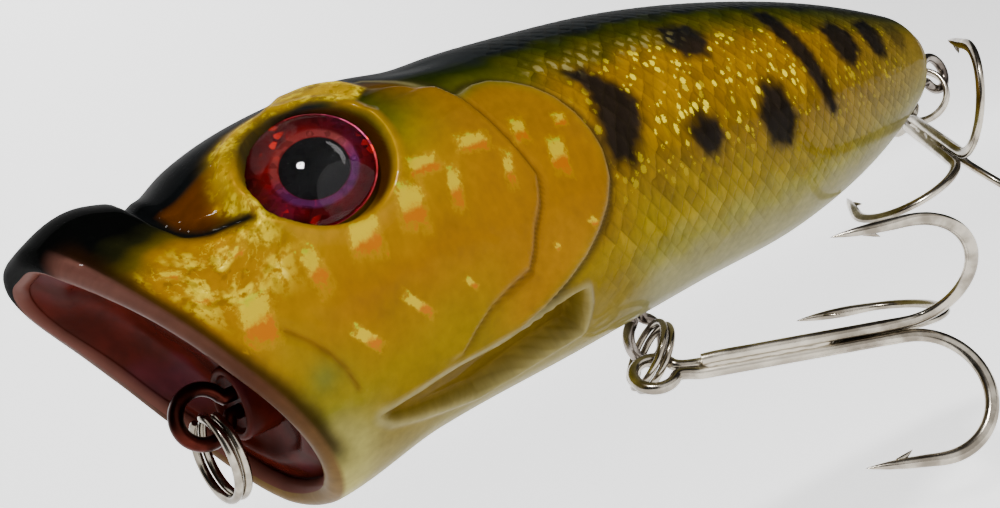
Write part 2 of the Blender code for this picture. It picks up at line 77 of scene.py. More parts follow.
# The cup from its rim to its middle: share of the way out from the middle, depth.
CUP_ROWS = ((0.73, 1.5), (0.67, 2.1), (0.58, 2.6), (0.46, 2.95), (0.3, 3.1), (0.12, 3.15), (0.0, 3.15))

EYE_X = 17.1
EYE_ANGLE = 33.0
EYE_AIM = np.array((-0.38, -0.83, 0.40))
SOCKET_RADIUS = 4.16
SOCKET_FLOOR = 3.78
SOCKET_DEPTH = 1.75
IRIS_DEPTH = 1.35
LENS_HEIGHT = 1.0

LINE_TIE = np.array((8.4, 0.0, -4.1))
BELLY_EYE = np.array((41.2, 0.0, -12.0))
TAIL_EYE = np.array((87.5, 0.0, -2.2))
WIRE_RADIUS = 0.45
EYE_LOOP_RADIUS = 1.6
LEG_OFFSET = 0.55

RING_RADIUS = 2.52
RING_WIRE = 0.26
RING_PITCH = 0.58
TREBLE_LENGTH = 21.8
TREBLE_GAP = 8.7
TREBLE_WIRE = 0.43
SHANK_OFFSET = 0.56
SHANK_START = 2.3
TREBLE_EYE_RADIUS = 1.5
POINT_LENGTH = 5.2

# How each ring and treble lies at rest: its main direction, and a second one across it.
NOSE_RING = ((0.0, 0.0, -1.0), (0.0, 1.0, 0.0))
BELLY_RING = ((-0.65, -0.652, -0.389), (-0.373, 0.721, -0.584))
TAIL_RING = ((-0.62, 0.53, -0.58), (-0.111, 0.715, 0.69))
BELLY_TREBLE = ((0.786, -0.574, -0.228), (-0.208, -0.594, 0.777))
TAIL_TREBLE = ((-0.70, -0.67, -0.26), (0.567, -0.292, -0.776))


# ---- small maths


def unit(v):
    v = np.asarray(v, float)
    return v / np.linalg.norm(v, axis=-1, keepdims=True)


def smooth(low, high, value):
    """0 at low, 1 at high, with soft ends."""
    t = np.clip((value - low) / (high - low), 0.0, 1.0)
    return t * t * (3 - 2 * t)


def bell(distance, width):
    """1 at no distance, falling softly to 0 on either side."""
    return np.exp(-((distance / width) ** 2))


def srgb(r, g, b):
    """A given colour (0 to 255) as the linear values that shaders take."""
    c = np.array((r, g, b)) / 255.0
    return np.where(c <= 0.04045, c / 12.92, ((c + 0.055) / 1.055) ** 2.4)


def mix(a, b, share):
    share = np.asarray(share)[..., None]
    return a * (1 - share) + b * share


def ripple(x, s, scale, seed=0.0):
    """Cheap smooth noise, about -1 to 1, from a few crossed waves."""
    x, s = x / scale, s / scale
    total = np.sin(1.7 * x + 2.3 * s + seed) + np.sin(2.9 * x - 1.3 * s + 1.9 * seed)
    total += np.sin(-1.1 * x + 3.7 * s + 2.7 * seed) + 0.7 * np.sin(4.3 * x + 3.1 * s + 0.6 * seed)
    return total / 3.0


def curve_through(knots, values, at):
    """The smooth curve that has these values at the knots, read at other places."""
    slopes = np.gradient(values, knots, axis=0)
    i = np.clip(np.searchsorted(knots, at, side="right") - 1, 0, len(knots) - 2)
    step = knots[i + 1] - knots[i]
    t = (at - knots[i]) / step
    if values.ndim > 1:
        step, t = (part.reshape(-1, *[1] * (values.ndim - 1)) for part in (step, t))
    start = (1 + 2 * t) * (1 - t) ** 2 * values[i] + t * (1 - t) ** 2 * step * slopes[i]
    end = t * t * (3 - 2 * t) * values[i + 1] + t * t * (t - 1) * step * slopes[i + 1]
    return start + end


def line_distance(x, a, points):
    """Distance in mm on the unrolled skin from each (x, angle) to a line of such points."""
    s = a * MM_PER_DEGREE
    best = np.full(np.shape(x), 1e9)
    for (x0, a0), (x1, a1) in zip(points, points[1:]):
        s0, s1 = a0 * MM_PER_DEGREE, a1 * MM_PER_DEGREE
        dx, ds = x1 - x0, s1 - s0
        t = np.clip(((x - x0) * dx + (s - s0) * ds) / (dx * dx + ds * ds), 0, 1)
        best = np.minimum(best, np.hypot(x - x0 - t * dx, s - s0 - t * ds))
    return best


def inside_distance(x, a, points):
    """The same for a closed outline: above zero inside, below zero outside."""
    ring = list(points) + [points[0]]
    inside = np.zeros(np.shape(x), bool)
    for (x0, a0), (x1, a1) in zip(ring, ring[1:]):
        crosses = (a0 > a) != (a1 > a)
        at = x0 + (a - a0) * (x1 - x0) / (a1 - a0 if a1 != a0 else 1e-9)
        inside ^= crosses & (x < at)
    distance = line_distance(x, a, ring)
    return np.where(inside, distance, -distance)


# ---- meshes and placing


def to_world(points):
    return (np.asarray(points, float) - LINE_TIE) * MM


def link(name, mesh, body, material, node=None):
    """Puts a piece in the scene. It rides on the body, and replaces the CAD node if one is named."""
    obj = bpy.data.objects.new(name, mesh)
    bpy.context.scene.collection.objects.link(obj)
    mesh.materials.append(material)
    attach(obj, body)
    if node:
        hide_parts(node)


def mesh_of(name, points, faces, sharp=None):
    mesh = bpy.data.meshes.new(name)
    mesh.from_pydata(points.tolist(), [], faces)
    mesh.update()
    mesh.shade_smooth()
    if sharp:
        mesh.set_sharp_from_angle(angle=math.radians(sharp))
    return mesh


def grid_faces(rows, columns, wrap=False):
    """Quads of a grid of points stored row by row; wrap joins the last column to the first."""
    faces = []
    for i in range(rows - 1):
        for j in range(columns if wrap else columns - 1):
            k = (j + 1) % columns
            faces.append((i * columns + j, i * columns + k, (i + 1) * columns + k, (i + 1) * columns + j))
    return faces


def add_values(mesh, name, values):
    attribute = mesh.attributes.new(name, "FLOAT", "POINT")
    attribute.data.foreach_set("value", np.asarray(values, np.float32).ravel())


def add_colours(mesh, name, colours):
    attribute = mesh.attributes.new(name, "FLOAT_COLOR", "POINT")
    rgba = np.concatenate([colours.reshape(-1, 3), np.ones((colours.size // 3, 1))], axis=1)
    attribute.data.foreach_set("color", rgba.astype(np.float32).ravel())


def add_uv(mesh, u, v):
    """A UV map of places on the unrolled skin, from mm."""
    layer = mesh.uv_layers.new(name="skin")
    loops = np.empty(len(mesh.loops), np.int32)
    mesh.loops.foreach_get("vertex_index", loops)
    pairs = np.stack([np.ravel(u)[loops], np.ravel(v)[loops]], axis=1) / UV_UNIT
    layer.data.foreach_set("uv", pairs.astype(np.float32).ravel())


def frames_along(path):
    """Tangent and two sides at each point of a path, turning as little as possible."""
    path = np.asarray(path, float)
    tangents = unit(np.gradient(path, axis=0))
    side = np.cross(tangents[0], (0.31, 0.52, 0.79))
    sides = []
    for tangent in tangents:
        side = unit(side - tangent * side.dot(tangent))
        sides.append(side)
    sides = np.array(sides)
    return tangents, sides, np.cross(tangents, sides)


def mirror(points):
    return np.asarray(points) * (1, -1, 1)


def tube(path, radii, around=16, flat_normal=None, flat=None):
    """(points, faces) of a round wire. flat thins it by that share along flat_normal and widens it across."""
    path = np.asarray(path, float)
    tangents, first, second = frames_along(path)
    if flat_normal is not None:
        first = np.tile(unit(flat_normal), (len(path), 1))
        first = unit(first - tangents * (first * tangents).sum(1, keepdims=True))
        second = np.cross(tangents, first)
    flat = np.zeros(len(path)) if flat is None else np.asarray(flat)
    turn = np.linspace(0, 2 * math.pi, around, endpoint=False)[None, :, None]
    thin = (radii * (1 - flat))[:, None, None]
    wide = (radii * (1 + 0.35 * flat))[:, None, None]
    ring = np.cos(turn) * first[:, None] * thin + np.sin(turn) * second[:, None] * wide
    points = (path[:, None] + ring).reshape(-1, 3)
    faces = grid_faces(len(path), around, wrap=True)
    base = len(points)
    last = base - around
    for j in range(around):
        k = (j + 1) % around
        faces += [(base, k, j), (base + 1, last + j, last + k)]
    return np.concatenate([points, path[[0, -1]]]), faces


def joined(pieces):
    points, faces, start = [], [], 0
    for piece_points, piece_faces in pieces:
        points.append(piece_points)
        faces += [tuple(i + start for i in face) for face in piece_faces]
        start += len(piece_points)
    return np.concatenate(points), faces


def resample(path, radii, step):
    """The path through the given points as a smooth curve, with a point every step mm."""
    path = np.asarray(path, float)
    lengths = np.concatenate([[0], np.cumsum(np.linalg.norm(np.diff(path, axis=0), axis=1))])
    at = np.linspace(0, lengths[-1], max(int(lengths[-1] / step), 4))
    return curve_through(lengths, path, at), np.interp(at, lengths, radii)


# ---- body skin


def along(x, values):
    return curve_through(STATION_X, values, np.clip(x, STATION_X[0], STATION_X[-1]))


def skin(x, angle):
    """Points on the left side: angle -90 is the belly line, 0 the middle of the side, 90 the back line."""
    x, angle = np.broadcast_arrays(np.asarray(x, float), np.asarray(angle, float))
    back, belly, half_width = along(x, BACK_Z), along(x, BELLY_Z), along(x, HALF_WIDTH)
    past = np.clip((x - TAIL_ROUND_X) / (BODY_LENGTH - TAIL_ROUND_X), 0, 1)
    rounding = np.sqrt(1 - past**2.2)
    across, up = np.cos(np.radians(angle)), np.sin(np.radians(angle))
    y = -half_width * rounding * np.abs(across) ** (2 / SQUARENESS)
    z = (back + belly) / 2 + np.sign(up) * (back - belly) / 2 * rounding * np.abs(up) ** (2 / SQUARENESS)
    y = np.where(np.abs(angle) >= SEAM_ANGLE, 0.0, y)
    return np.stack([x, y, z], axis=-1)


def skin_normal(x, angle):
    """Outward normals of the left side, and the way forward along the skin."""
    x_step, angle_step, steepest = 0.02, 0.4, 89.2
    x = np.minimum(x, BODY_LENGTH - x_step)
    backward = skin(x + x_step, angle) - skin(x - x_step, angle)
    angle = np.clip(angle, -steepest, steepest)
    around = skin(x, angle + angle_step) - skin(x, angle - angle_step)
    return unit(np.cross(backward, around)), -unit(backward)


def rim_station(angle):
    """How far back the mouth's rim lies at each angle, found by closing in on it."""
    x = np.full(np.shape(angle), MOUTH_CENTRE[0])
    for _ in range(40):
        down = (UPPER_LIP[2] - skin(x, angle)[..., 2]) / (UPPER_LIP[2] - CHIN[2])
        bow = MOUTH_BOW * np.maximum(0, 4 * down * (1 - down))
        x = 0.5 * (x + UPPER_LIP[0] + (CHIN[0] - UPPER_LIP[0]) * down + bow)
    return x


EYE_CENTRE = skin(EYE_X, EYE_ANGLE)
EYE_OUT = unit(EYE_AIM)
EYE_REAR = unit(np.array((1.0, 0.0, 0.0)) - EYE_OUT * EYE_OUT[0])
# The disc, the opening in front of it and the pupil are each a little off that centre.
EYE_SHIFT = -0.2 * EYE_REAR
OPENING_SHIFT = 0.28 * EYE_REAR + 0.26 * np.cross(EYE_REAR, EYE_OUT)
PUPIL_SHIFT = 0.3 * EYE_REAR

# Lines and outlines on the unrolled left side, as (mm from the nose, angle).
GILL_EDGE = (
    (27.8, 33), (29, 35.5), (30.4, 35.5), (31.8, 32.5), (33.1, 28), (34.2, 22), (35.1, 14), (35.6, 7),
    (35.8, 1), (35.4, -6), (34.5, -12.5), (33.2, -19), (31.6, -25.5), (29.8, -31), (27.8, -36), (25.5, -40),
    (23, -40.5), (20, -39.5), (17, -38.5), (15, -37.5), (5, -37.5), (5, 60), (24, 60),
)
CHEEK_EDGE = (
    (23.6, 50), (25.2, 44), (26.6, 37), (27.6, 29), (28.4, 20), (29.2, 10), (29.9, 1), (29.2, -5),
    (28.2, -10.5), (27.6, -16), (26.9, -21), (25.2, -23.5), (23.6, -26.5), (22.2, -31), (21, -36), (8, -36),
    (8, 62), (22, 62),
)
THROAT = (
    (15.2, -39.5), (18, -41.2), (21, -42), (24, -43), (26, -42), (28, -39.5), (29.6, -37.6), (31.3, -37),
    (31.5, -45), (31.4, -56.5), (29, -58.5), (26, -61.5), (23, -62.5), (20.5, -57), (18, -50), (16, -44),
)
LIP_GROOVE = (
    (8.4, 90), (8.1, 78), (8, 66), (8.2, 56), (8.6, 47), (9.3, 39.5), (10.4, 34), (12, 29.5), (13.3, 26),
    (14, 22.5),
)
NOSTRIL_PANEL = ((8.8, 54), (9, 44), (9.9, 36.5), (11.2, 33), (12.5, 31), (12.2, 40), (12.4, 49), (13.2, 55))
BROW = ((17, 61), (19.5, 57), (21.8, 46), (23, 52), (22.8, 64), (21.5, 76), (19.5, 78), (18.2, 68))
FRONT_RIM = ((12.9, 27), (12.2, 38), (12.6, 48), (13.6, 57), (15.2, 62.5), (17.6, 65))
JAW_CREASE = ((11.3, -2), (12.3, -7), (13.2, -13), (13.8, -19), (14.2, -27))
DARK_MARKS = (
    (
        (36.6, 29), (38, 28.5), (39.2, 20), (40.6, 11), (40, 4), (38, -3.5), (36.4, -1.5), (36.7, 8),
        (37.3, 18),
    ),
    ((47.6, 38), (50.4, 37), (51, 29), (50, 21), (47.8, 22), (47, 29)),
    ((44.4, -2), (45.8, 0.5), (47.4, -2), (47.2, -8), (45.6, -11.5), (44.7, -8)),
    ((52.4, -4), (54.2, 4), (56, 2), (56.4, -8), (54.8, -17.5), (52.8, -15)),
    (
        (59.2, 42), (61, 42), (61.5, 30), (62.2, 16), (62.6, 2), (62.5, -11), (61.8, -12), (60.9, 2),
        (60.2, 14), (59.5, 26),
    ),
    ((66.2, 26), (68.4, 31), (70.2, 22), (70, 10), (68, 3), (66.6, 8)),
    ((72.4, 30), (74.8, 34), (75.8, 20), (74.8, 4), (73, 5), (72.4, 16)),
    ((77.8, 28), (79.8, 32), (80.6, 17), (79.2, 4), (78, 12)),
)


def moulding_distances(x, a):
    """Distances in mm to the five outlines and the three lines of the moulded detail."""
    outlines = (GILL_EDGE, CHEEK_EDGE, THROAT, NOSTRIL_PANEL, BROW)
    distances = [inside_distance(x, a, outline) for outline in outlines]
    return distances + [line_distance(x, a, line) for line in (LIP_GROOVE, FRONT_RIM, JAW_CREASE)]


def relief(x, a):
    """How far the moulded detail stands out of the plain skin, in mm."""
    gill, cheek, throat, panel, brow, groove, front_rim, crease = moulding_distances(x, a)
    s = a * MM_PER_DEGREE
    gill_here = smooth(14, 19, x) * smooth(41, 35, a)
    cheek_here = smooth(19, 22, x) * smooth(50, 43, a)
    throat_depth = 0.45 + 1.15 * smooth(15, 30, x)
    crumple = ripple(x, s, 0.9) * ripple(x, s, 1.7, 2.0)
    scaled = smooth(0.2, -0.8, gill) * smooth(31, 34.5, x) * smooth(84, 74, x)
    parts = (
        # Gill cover and cheek, each with a groove round its edge.
        0.5 * smooth(-0.05, 0.4, gill) * np.exp(-np.maximum(gill, 0) / 4.5) * gill_here,
        -0.14 * bell(gill + 0.22, 0.28) * gill_here * smooth(20, 27, x),
        0.36 * smooth(-0.05, 0.3, cheek) * np.exp(-np.maximum(cheek, 0) / 3.5) * cheek_here,
        -0.16 * bell(cheek + 0.16, 0.18) * cheek_here,
        # Throat pocket with its raised edge.
        -throat_depth * smooth(-0.12, 0.4, throat),
        0.2 * bell(throat + 0.32, 0.28),
        # Groove behind the lip, and the swell of the lip above it.
        -0.6 * bell(groove, 0.5) * smooth(15.0, 12.5, x),
        0.3 * bell(x - 4.6, 2.6) * smooth(40, 62, a) * smooth(90, 70, a),
        # Nostril panel, brow, ridge in front of the eye, hollow of the nape, crease of the jaw.
        -0.35 * smooth(-0.2, 0.5, panel),
        0.3 * smooth(-0.6, 0.5, brow),
        0.25 * bell(front_rim, 0.55),
        -0.45 * bell(x - 27.5, 3.4) * smooth(46, 64, a),
        -0.14 * bell(crease, 0.22),
        # Slight unevenness of the cheeks, and the scales behind them.
        0.025 * crumple * smooth(34, 30, x) * smooth(-35, -20, a) * smooth(48, 36, a),
        0.022 * scale_height(x, a) * scaled * smooth(-60, -36, a),
    )
    return sum(parts) * smooth(86.4, 84.5, x)


def scale_height(x, a):
    """The overlapping scales, -1 to 1: each is highest at its rear edge."""
    p = x / SCALE_LENGTH
    q = a * MM_PER_DEGREE / SCALE_HEIGHT
    one, two = (p + q) % 1.0, (p - q) % 1.0
    return 2 * np.minimum(1, 2.2 * np.minimum(1 - one, 1 - two) + 0.5 * (one + two) / 2) - 1


def socket_sink(points):
    """For each left-side point, in mm: how far it sinks along the eye's axis, how far it is from the middle
    of the opening, and how far behind that middle it is."""
    offset = points - EYE_CENTRE
    height = offset @ EYE_OUT
    flat = offset - height[..., None] * EYE_OUT
    radius = np.linalg.norm(flat - OPENING_SHIFT, axis=-1)
    inside = np.maximum(SOCKET_RADIUS + 0.12 - radius, 0)
    beyond_floor = np.maximum(np.linalg.norm(flat - EYE_SHIFT, axis=-1) - SOCKET_FLOOR, 0)
    wall = smooth(0.0, 1.0, inside / (inside + beyond_floor + 1e-9))
    sink = wall * (height + SOCKET_DEPTH)
    lip = 0.34 * bell(radius - SOCKET_RADIUS - 0.45, 0.4)
    behind = (flat - OPENING_SHIFT) @ EYE_REAR
    near_side = height > -6
    return np.where(near_side, sink - lip * (radius > SOCKET_FLOOR), 0.0), radius, behind


# ---- paint, worked out on the skin's points, in colours given as 0 to 255


def ramp(value, stops):
    """Linear colours blended along (value, given colour) stops."""
    places = np.array([place for place, _ in stops], float)
    colours = np.array([srgb(*colour) for _, colour in stops])
    return np.stack([np.interp(value, places, colours[:, k]) for k in range(3)], axis=-1)


# The studio light shows a surface about twice as bright as its colour, so paint is put on this much darker.
PAINT_DEPTH = 0.45

INK = (17, 19, 20)
DEEP_INK = (9, 10, 9)
MARK = (22, 23, 28)
SLATE = (30, 35, 36)
DARK_GREEN = (54, 60, 14)
GREEN = (104, 122, 52)
GOLD = (180, 126, 4)
BRIGHT_GOLD = (222, 176, 4)
DEEP_GOLD = (176, 120, 6)
RIM_GOLD = (190, 140, 20)
OLIVE = (154, 130, 8)
PALE_OLIVE = (156, 146, 52)
PALE_BELLY = (176, 172, 144)
PALE_CHIN = (190, 180, 96)
THROAT_EDGE_HIGHLIGHT = (176, 164, 112)
# Pale clear-plastic colour, also used as a painted highlight along the gill and cheek edges.
CLEAR_EDGE_AND_HIGHLIGHT = (168, 154, 100)
AMBER = (96, 50, 4)
LIP_BROWN = (114, 74, 64)
SHADOW_BROWN = (40, 22, 8)
SOCKET_WALL_SHADE = (74, 40, 10)
GILL_GROOVE_SHADE = (52, 44, 26)
CHEEK_GROOVE_SHADE = (96, 66, 14)
CREASE_SHADE_BROWN = (110, 70, 8)
THROAT_BROWN = (116, 90, 4)
THROAT_FLOOR = (120, 94, 8)


def paint(x, a, from_rim, eye_radius, eye_behind):
    """Linear paint colours: ramps from belly to back, then layers over them as (given colour, share)."""
    s = a * MM_PER_DEGREE
    wave = ripple(x, s, 1.6, 1.0)
    tail = smooth(58, 80, x)
    body = ramp(a + 3.0 * wave + 9 * tail * smooth(0, 30, a), (
        (-90, PALE_BELLY), (-66, (154, 148, 98)), (-50, (154, 146, 92)), (-38, PALE_OLIVE), (-27, OLIVE),
        (-8, (144, 110, 4)), (8, (182, 132, 2)), (24, (182, 132, 4)), (33, (120, 102, 6)), (40, (82, 78, 8)),
        (46, DARK_GREEN), (52, SLATE), (90, INK),
    ))
    dull = ramp(a, (
        (-90, PALE_BELLY), (-34, (146, 134, 66)), (-16, (144, 124, 40)), (6, (136, 114, 40)),
        (26, (112, 98, 30)), (40, (62, 62, 34)), (54, SLATE), (90, INK),
    ))
    body = mix(body, dull, tail * 0.85)
    head = ramp(a + 2.0 * wave, (
        (-90, PALE_OLIVE), (-62, (142, 126, 60)), (-42, (140, 116, 20)), (-28, (156, 126, 10)),
        (-6, (170, 116, 4)), (10, (188, 136, 4)), (25, (154, 132, 12)), (31, (120, 116, 12)),
        (38, (84, 86, 8)), (45, (38, 48, 12)), (52, SLATE), (90, INK),
    ))
    colour = mix(head, body, smooth(31, 36, x + 0.05 * (a - 20)))
    face = ramp(a + 3 * wave - 3.0 * (np.minimum(x, 11) - 8), (
        (-90, CLEAR_EDGE_AND_HIGHLIGHT), (-52, (156, 144, 84)), (-38, (140, 132, 40)), (-26, (154, 126, 12)), (0, GOLD),
        (28, GOLD), (36, (96, 80, 8)), (43, (34, 34, 14)), (50, DEEP_INK), (90, DEEP_INK),
    ))
    colour = mix(face, colour, smooth(10.5, 16, x + 0.04 * a))

    gill, cheek, throat, panel, brow, groove, front_rim, crease = moulding_distances(x, a)
    cheek_here = smooth(19, 23, x)
    layers = [
        (INK, smooth(54, 60, a + 2 * wave) * smooth(8, 9, x) * smooth(23, 20, x)),
        (AMBER, smooth(-0.3, 0.25, panel)),
        (DEEP_GOLD, 0.85 * smooth(0.1, 1.2, gill) * smooth(22, 27, x)),
        # Painted shade in the groove round the gill cover, then a painted highlight along its edge.
        (GILL_GROOVE_SHADE, 0.75 * bell(gill + 0.22, 0.28) * smooth(24, 28, x)),
        (CLEAR_EDGE_AND_HIGHLIGHT, 0.55 * bell(gill - 0.22, 0.2) * smooth(20, 26, x)),
        # Painted shade in the groove round the cheek, then a painted highlight along its edge.
        (CHEEK_GROOVE_SHADE, 0.7 * bell(cheek + 0.15, 0.16) * cheek_here),
        (CLEAR_EDGE_AND_HIGHLIGHT, 0.2 * bell(cheek - 0.15, 0.14) * cheek_here),
        (THROAT_BROWN, 0.95 * smooth(-0.05, 0.4, throat)),
        (THROAT_FLOOR, 0.6 * smooth(0.4, 1.6, throat) * smooth(-46, -58, a)),
        # Painted highlight: a pale line along the raised edge round the throat pocket.
        (THROAT_EDGE_HIGHLIGHT, 0.7 * bell(throat + 0.3, 0.26)),
        (PALE_CHIN, 0.75 * smooth(15.6, 13.5, x) * smooth(-30, -46, a)),
        (GREEN, 0.6 * bell(x - 12.4, 0.9) * bell(a + 18, 5.0)),
        # Painted shade along the crease of the jaw.
        (CREASE_SHADE_BROWN, 0.7 * bell(crease, 0.13)),
        (BRIGHT_GOLD, smooth(-0.5, 0.3, brow) * (0.75 + 0.25 * wave)),
        (BRIGHT_GOLD, bell(front_rim, 0.8) * (0.8 + 0.2 * wave)),
        (INK, bell(groove, 0.42) * smooth(14.6, 13.2, x)),
    ]
    marked = 0.96 - 0.4 * smooth(74, 79, x)
    ragged = 0.2 * ripple(x, s, 0.6, 3.0)
    for mark in DARK_MARKS:
        layers.append((MARK, marked * smooth(-0.75, 0.55, inside_distance(x, a, mark) + 0.25 + ragged)))
    past_socket = eye_radius - SOCKET_RADIUS
    top = smooth(40, 56, a)
    layers += [
        (RIM_GOLD, 0.7 * smooth(-0.2, 0.45, past_socket) * smooth(1, 0.55, past_socket) * smooth(52, 44, a)),
        # Painted shade: dark brown on the rear wall of the eye socket.
        (SOCKET_WALL_SHADE, smooth(0.16, -0.16, past_socket) * smooth(-0.8, 2.2, eye_behind)),
        (SHADOW_BROWN, 0.9 * smooth(2.2 + 0.3 * wave, 0.95, from_rim) * (1 - top) * smooth(-58, -40, a)),
    ]
    for tone, share in layers:
        colour = mix(colour, srgb(*tone), share)
    lip = ramp(a, ((-60, (128, 100, 56)), (-35, (106, 76, 44)), (-12, (88, 54, 36)), (30, LIP_BROWN)))
    return mix(colour, lip, smooth(0.95, 0.55, from_rim) * (1 - top)) * PAINT_DEPTH


# Painted reflections: cells of the foil that catch the light, painted bright: x, angle, half length and half
# height in mm, tilt, strength.
FLASHES = (
    (10.3, 3, 0.85, 1, -12, 1), (14.2, 5.5, 0.5, 1, 8, 0.85), (17.6, 5, 0.9, 0.75, -14, 1),
    (21, 6, 0.8, 0.95, -20, 0.95), (24.1, 5.5, 0.42, 0.95, -22, 0.85), (28, 4.5, 0.35, 0.85, -20, 0.75),
    (32.1, 4, 0.6, 0.8, -16, 1), (22.8, 14, 0.95, 0.5, -8, 0.95), (26.5, 14.5, 1, 0.5, -10, 0.9),
    (30.2, 14, 0.55, 0.7, -10, 0.8), (33.4, 13, 0.5, 0.4, -10, 0.8), (15.5, -15, 0.95, 0.3, -52, 0.95),
    (19, -15, 1, 0.27, -52, 0.9), (22.6, -17, 0.4, 0.22, -52, 0.8), (29.4, -18, 0.3, 0.2, -50, 0.7),
    (32.6, -15, 0.35, 0.25, -50, 0.85), (8.2, 13, 0.55, 0.5, -30, 0.8), (7.2, 22, 0.5, 0.35, -20, 0.7),
    (10.8, 21, 0.6, 0.3, -10, 0.7),
)


def flash_fields(x, a):
    """How deep inside a flashing cell each point lies, and how high in it (above zero in its upper half)."""
    best, height = np.zeros(x.shape), np.zeros(x.shape)
    for at, angle, half_long, half_high, tilt, strength in FLASHES:
        dx, ds = x - at, (a - angle) * MM_PER_DEGREE
        cos, sin = math.cos(math.radians(tilt)), math.sin(math.radians(tilt))
        along_cell, up_cell = dx * cos + ds * sin, ds * cos - dx * sin
        far = np.maximum(np.abs(along_cell) / half_long, np.abs(up_cell) / half_high)
        depth = strength * np.clip(1.5 - far, 0, 1)
        reach = abs(half_long * sin) + abs(half_high * cos)
        height = np.where(depth > best, ds / reach, height)
        best = np.maximum(best, depth)
    return best, height


def crinkle_weight(x, a):
    """Where the film is wrinkled: in front of and round the eye."""
    front = smooth(15.5, 11, x) * smooth(0, 12, a) * smooth(34, 25, a + 2.4 * np.maximum(8 - x, 0))
    front = front * smooth(0.0, -0.6, inside_distance(x, a, NOSTRIL_PANEL))
    brow = smooth(-0.4, 0.2, inside_distance(x, a, BROW))
    rim = bell(line_distance(x, a, FRONT_RIM), 0.8)
    return np.clip(front + brow + rim, 0, 1)


def sparkle_weight(x, a):
    """Where single scales flash: along the upper side behind the gill cover."""
    side = smooth(-12, 8, a) * smooth(33, 25, a) * smooth(38, 43, x) * smooth(64, 57, x)
    rest = 0.22 * smooth(-22, -4, a) * smooth(33, 24, a) * smooth(34, 37, x) * smooth(80, 74, x)
    return np.clip(side + rest, 0, 1)


def scale_highlight_weight(x, a):
    """Where the upper scales get painted highlights, just behind the gill cover."""
    return bell(a - 33, 4.0) * smooth(33, 35, x) * smooth(50, 44, x)


def metal_weight(x, a):
    """How metallic the paint is: more on the gold side than on the belly, and none on the back."""
    gold = smooth(-52, -34, a) * smooth(48, 38, a)
    return 0.2 * gold * (1 - 0.5 * smooth(62, 80, x)) + 0.15 * smooth(-34, -50, a)


# ---- node helpers


class Nodes:
    """A short way to write the node tree of one material."""

    def __init__(self, name):
        self.material = bpy.data.materials.new(name)
        self.material.use_nodes = True
        self.tree = self.material.node_tree
        self.shader = self.tree.nodes["Principled BSDF"]

    def add(self, kind, inputs=(), **settings):
        node = self.tree.nodes.new(kind)
        for key, value in settings.items():
            setattr(node, key, value)
        for key, value in dict(inputs).items():
            self.put(node.inputs[key], value)
        return node

    def put(self, socket, value):
        if isinstance(value, bpy.types.NodeSocket):
            self.tree.links.new(value, socket)
        elif socket.type == "RGBA":
            socket.default_value = (*value[:3], 1.0)
        else:
            socket.default_value = value

    def math(self, operation, *values):
        return self.add("ShaderNodeMath", enumerate(values), operation=operation).outputs[0]

    def plus(self, a, b):
        return self.math("ADD", a, b)

    def minus(self, a, b):
        return self.math("SUBTRACT", a, b)

    def times(self, product, *factors):
        for factor in factors:
            product = self.math("MULTIPLY", product, factor)
        return product

    def scaled(self, value, factor, offset):
        """value * factor + offset"""
        return self.math("MULTIPLY_ADD", value, factor, offset)

    def step(self, value, low, high):
        """0 at low, 1 at high, soft between."""
        inputs = {"Value": value, "From Min": low, "From Max": high, "To Min": 0.0, "To Max": 1.0}
        node = self.add("ShaderNodeMapRange", inputs, interpolation_type="SMOOTHSTEP")
        return node.outputs["Result"]

    def blend(self, share, a, b, kind="MIX"):
        node = self.add("ShaderNodeMix", data_type="RGBA", blend_type=kind)
        for socket, value in ((0, share), (6, a), (7, b)):
            self.put(node.inputs[socket], value)
        return node.outputs[2]

    def shaded(self, colour, grey):
        """The colour, darker or brighter by a grey value."""
        tone = self.add("ShaderNodeCombineColor", {0: grey, 1: grey, 2: grey}).outputs[0]
        return self.blend(1.0, colour, tone, "MULTIPLY")

    def pair(self, a, b):
        return self.add("ShaderNodeCombineXYZ", {0: a, 1: b}).outputs[0]

    def channels(self, colour):
        return self.add("ShaderNodeSeparateColor", {0: colour}).outputs

    def place(self):
        return self.add("ShaderNodeTexCoord").outputs["Object"]

    def value(self, name, output="Fac"):
        return self.add("ShaderNodeAttribute", attribute_name=name).outputs[output]

    def noise(self, scale, detail, vector, roughness=0.5):
        inputs = {"Scale": scale, "Detail": detail, "Roughness": roughness, "Vector": vector}
        return self.add("ShaderNodeTexNoise", inputs).outputs["Fac"]

    def cells(self, scale, vector):
        return self.add("ShaderNodeTexVoronoi", {"Vector": vector, "Scale": scale}, feature="F1").outputs

    def bump(self, height, distance, strength):
        inputs = {"Height": height, "Distance": distance, "Strength": strength}
        return self.add("ShaderNodeBump", inputs).outputs["Normal"]

    def surface(self, **inputs):
        for key, value in inputs.items():
            self.put(self.shader.inputs[key.replace("_", " ")], value)
        return self.material


# ---- materials

NET_DARK = (0.012, 0.009, 0.001)
SCALE_HIGHLIGHT = (0.24, 0.2, 0.06)
SPARKLE_GOLD = (0.75, 0.6, 0.0)
FLASH_YELLOW = (0.44, 0.34, 0.0)
FLASH_ORANGE = (0.3, 0.035, 0.0)
FLASH_GREEN = (0.22, 0.36, 0.0)
FLASH_GLOW = (0.34, 0.19, 0.0)
CRINKLE_LIT_GOLD = (0.5, 0.37, 0.0)
CRINKLE_HIGHLIGHT = (1.0, 0.78, 0.06)
CRINKLE_PIT_SHADE = (0.09, 0.042, 0.0)


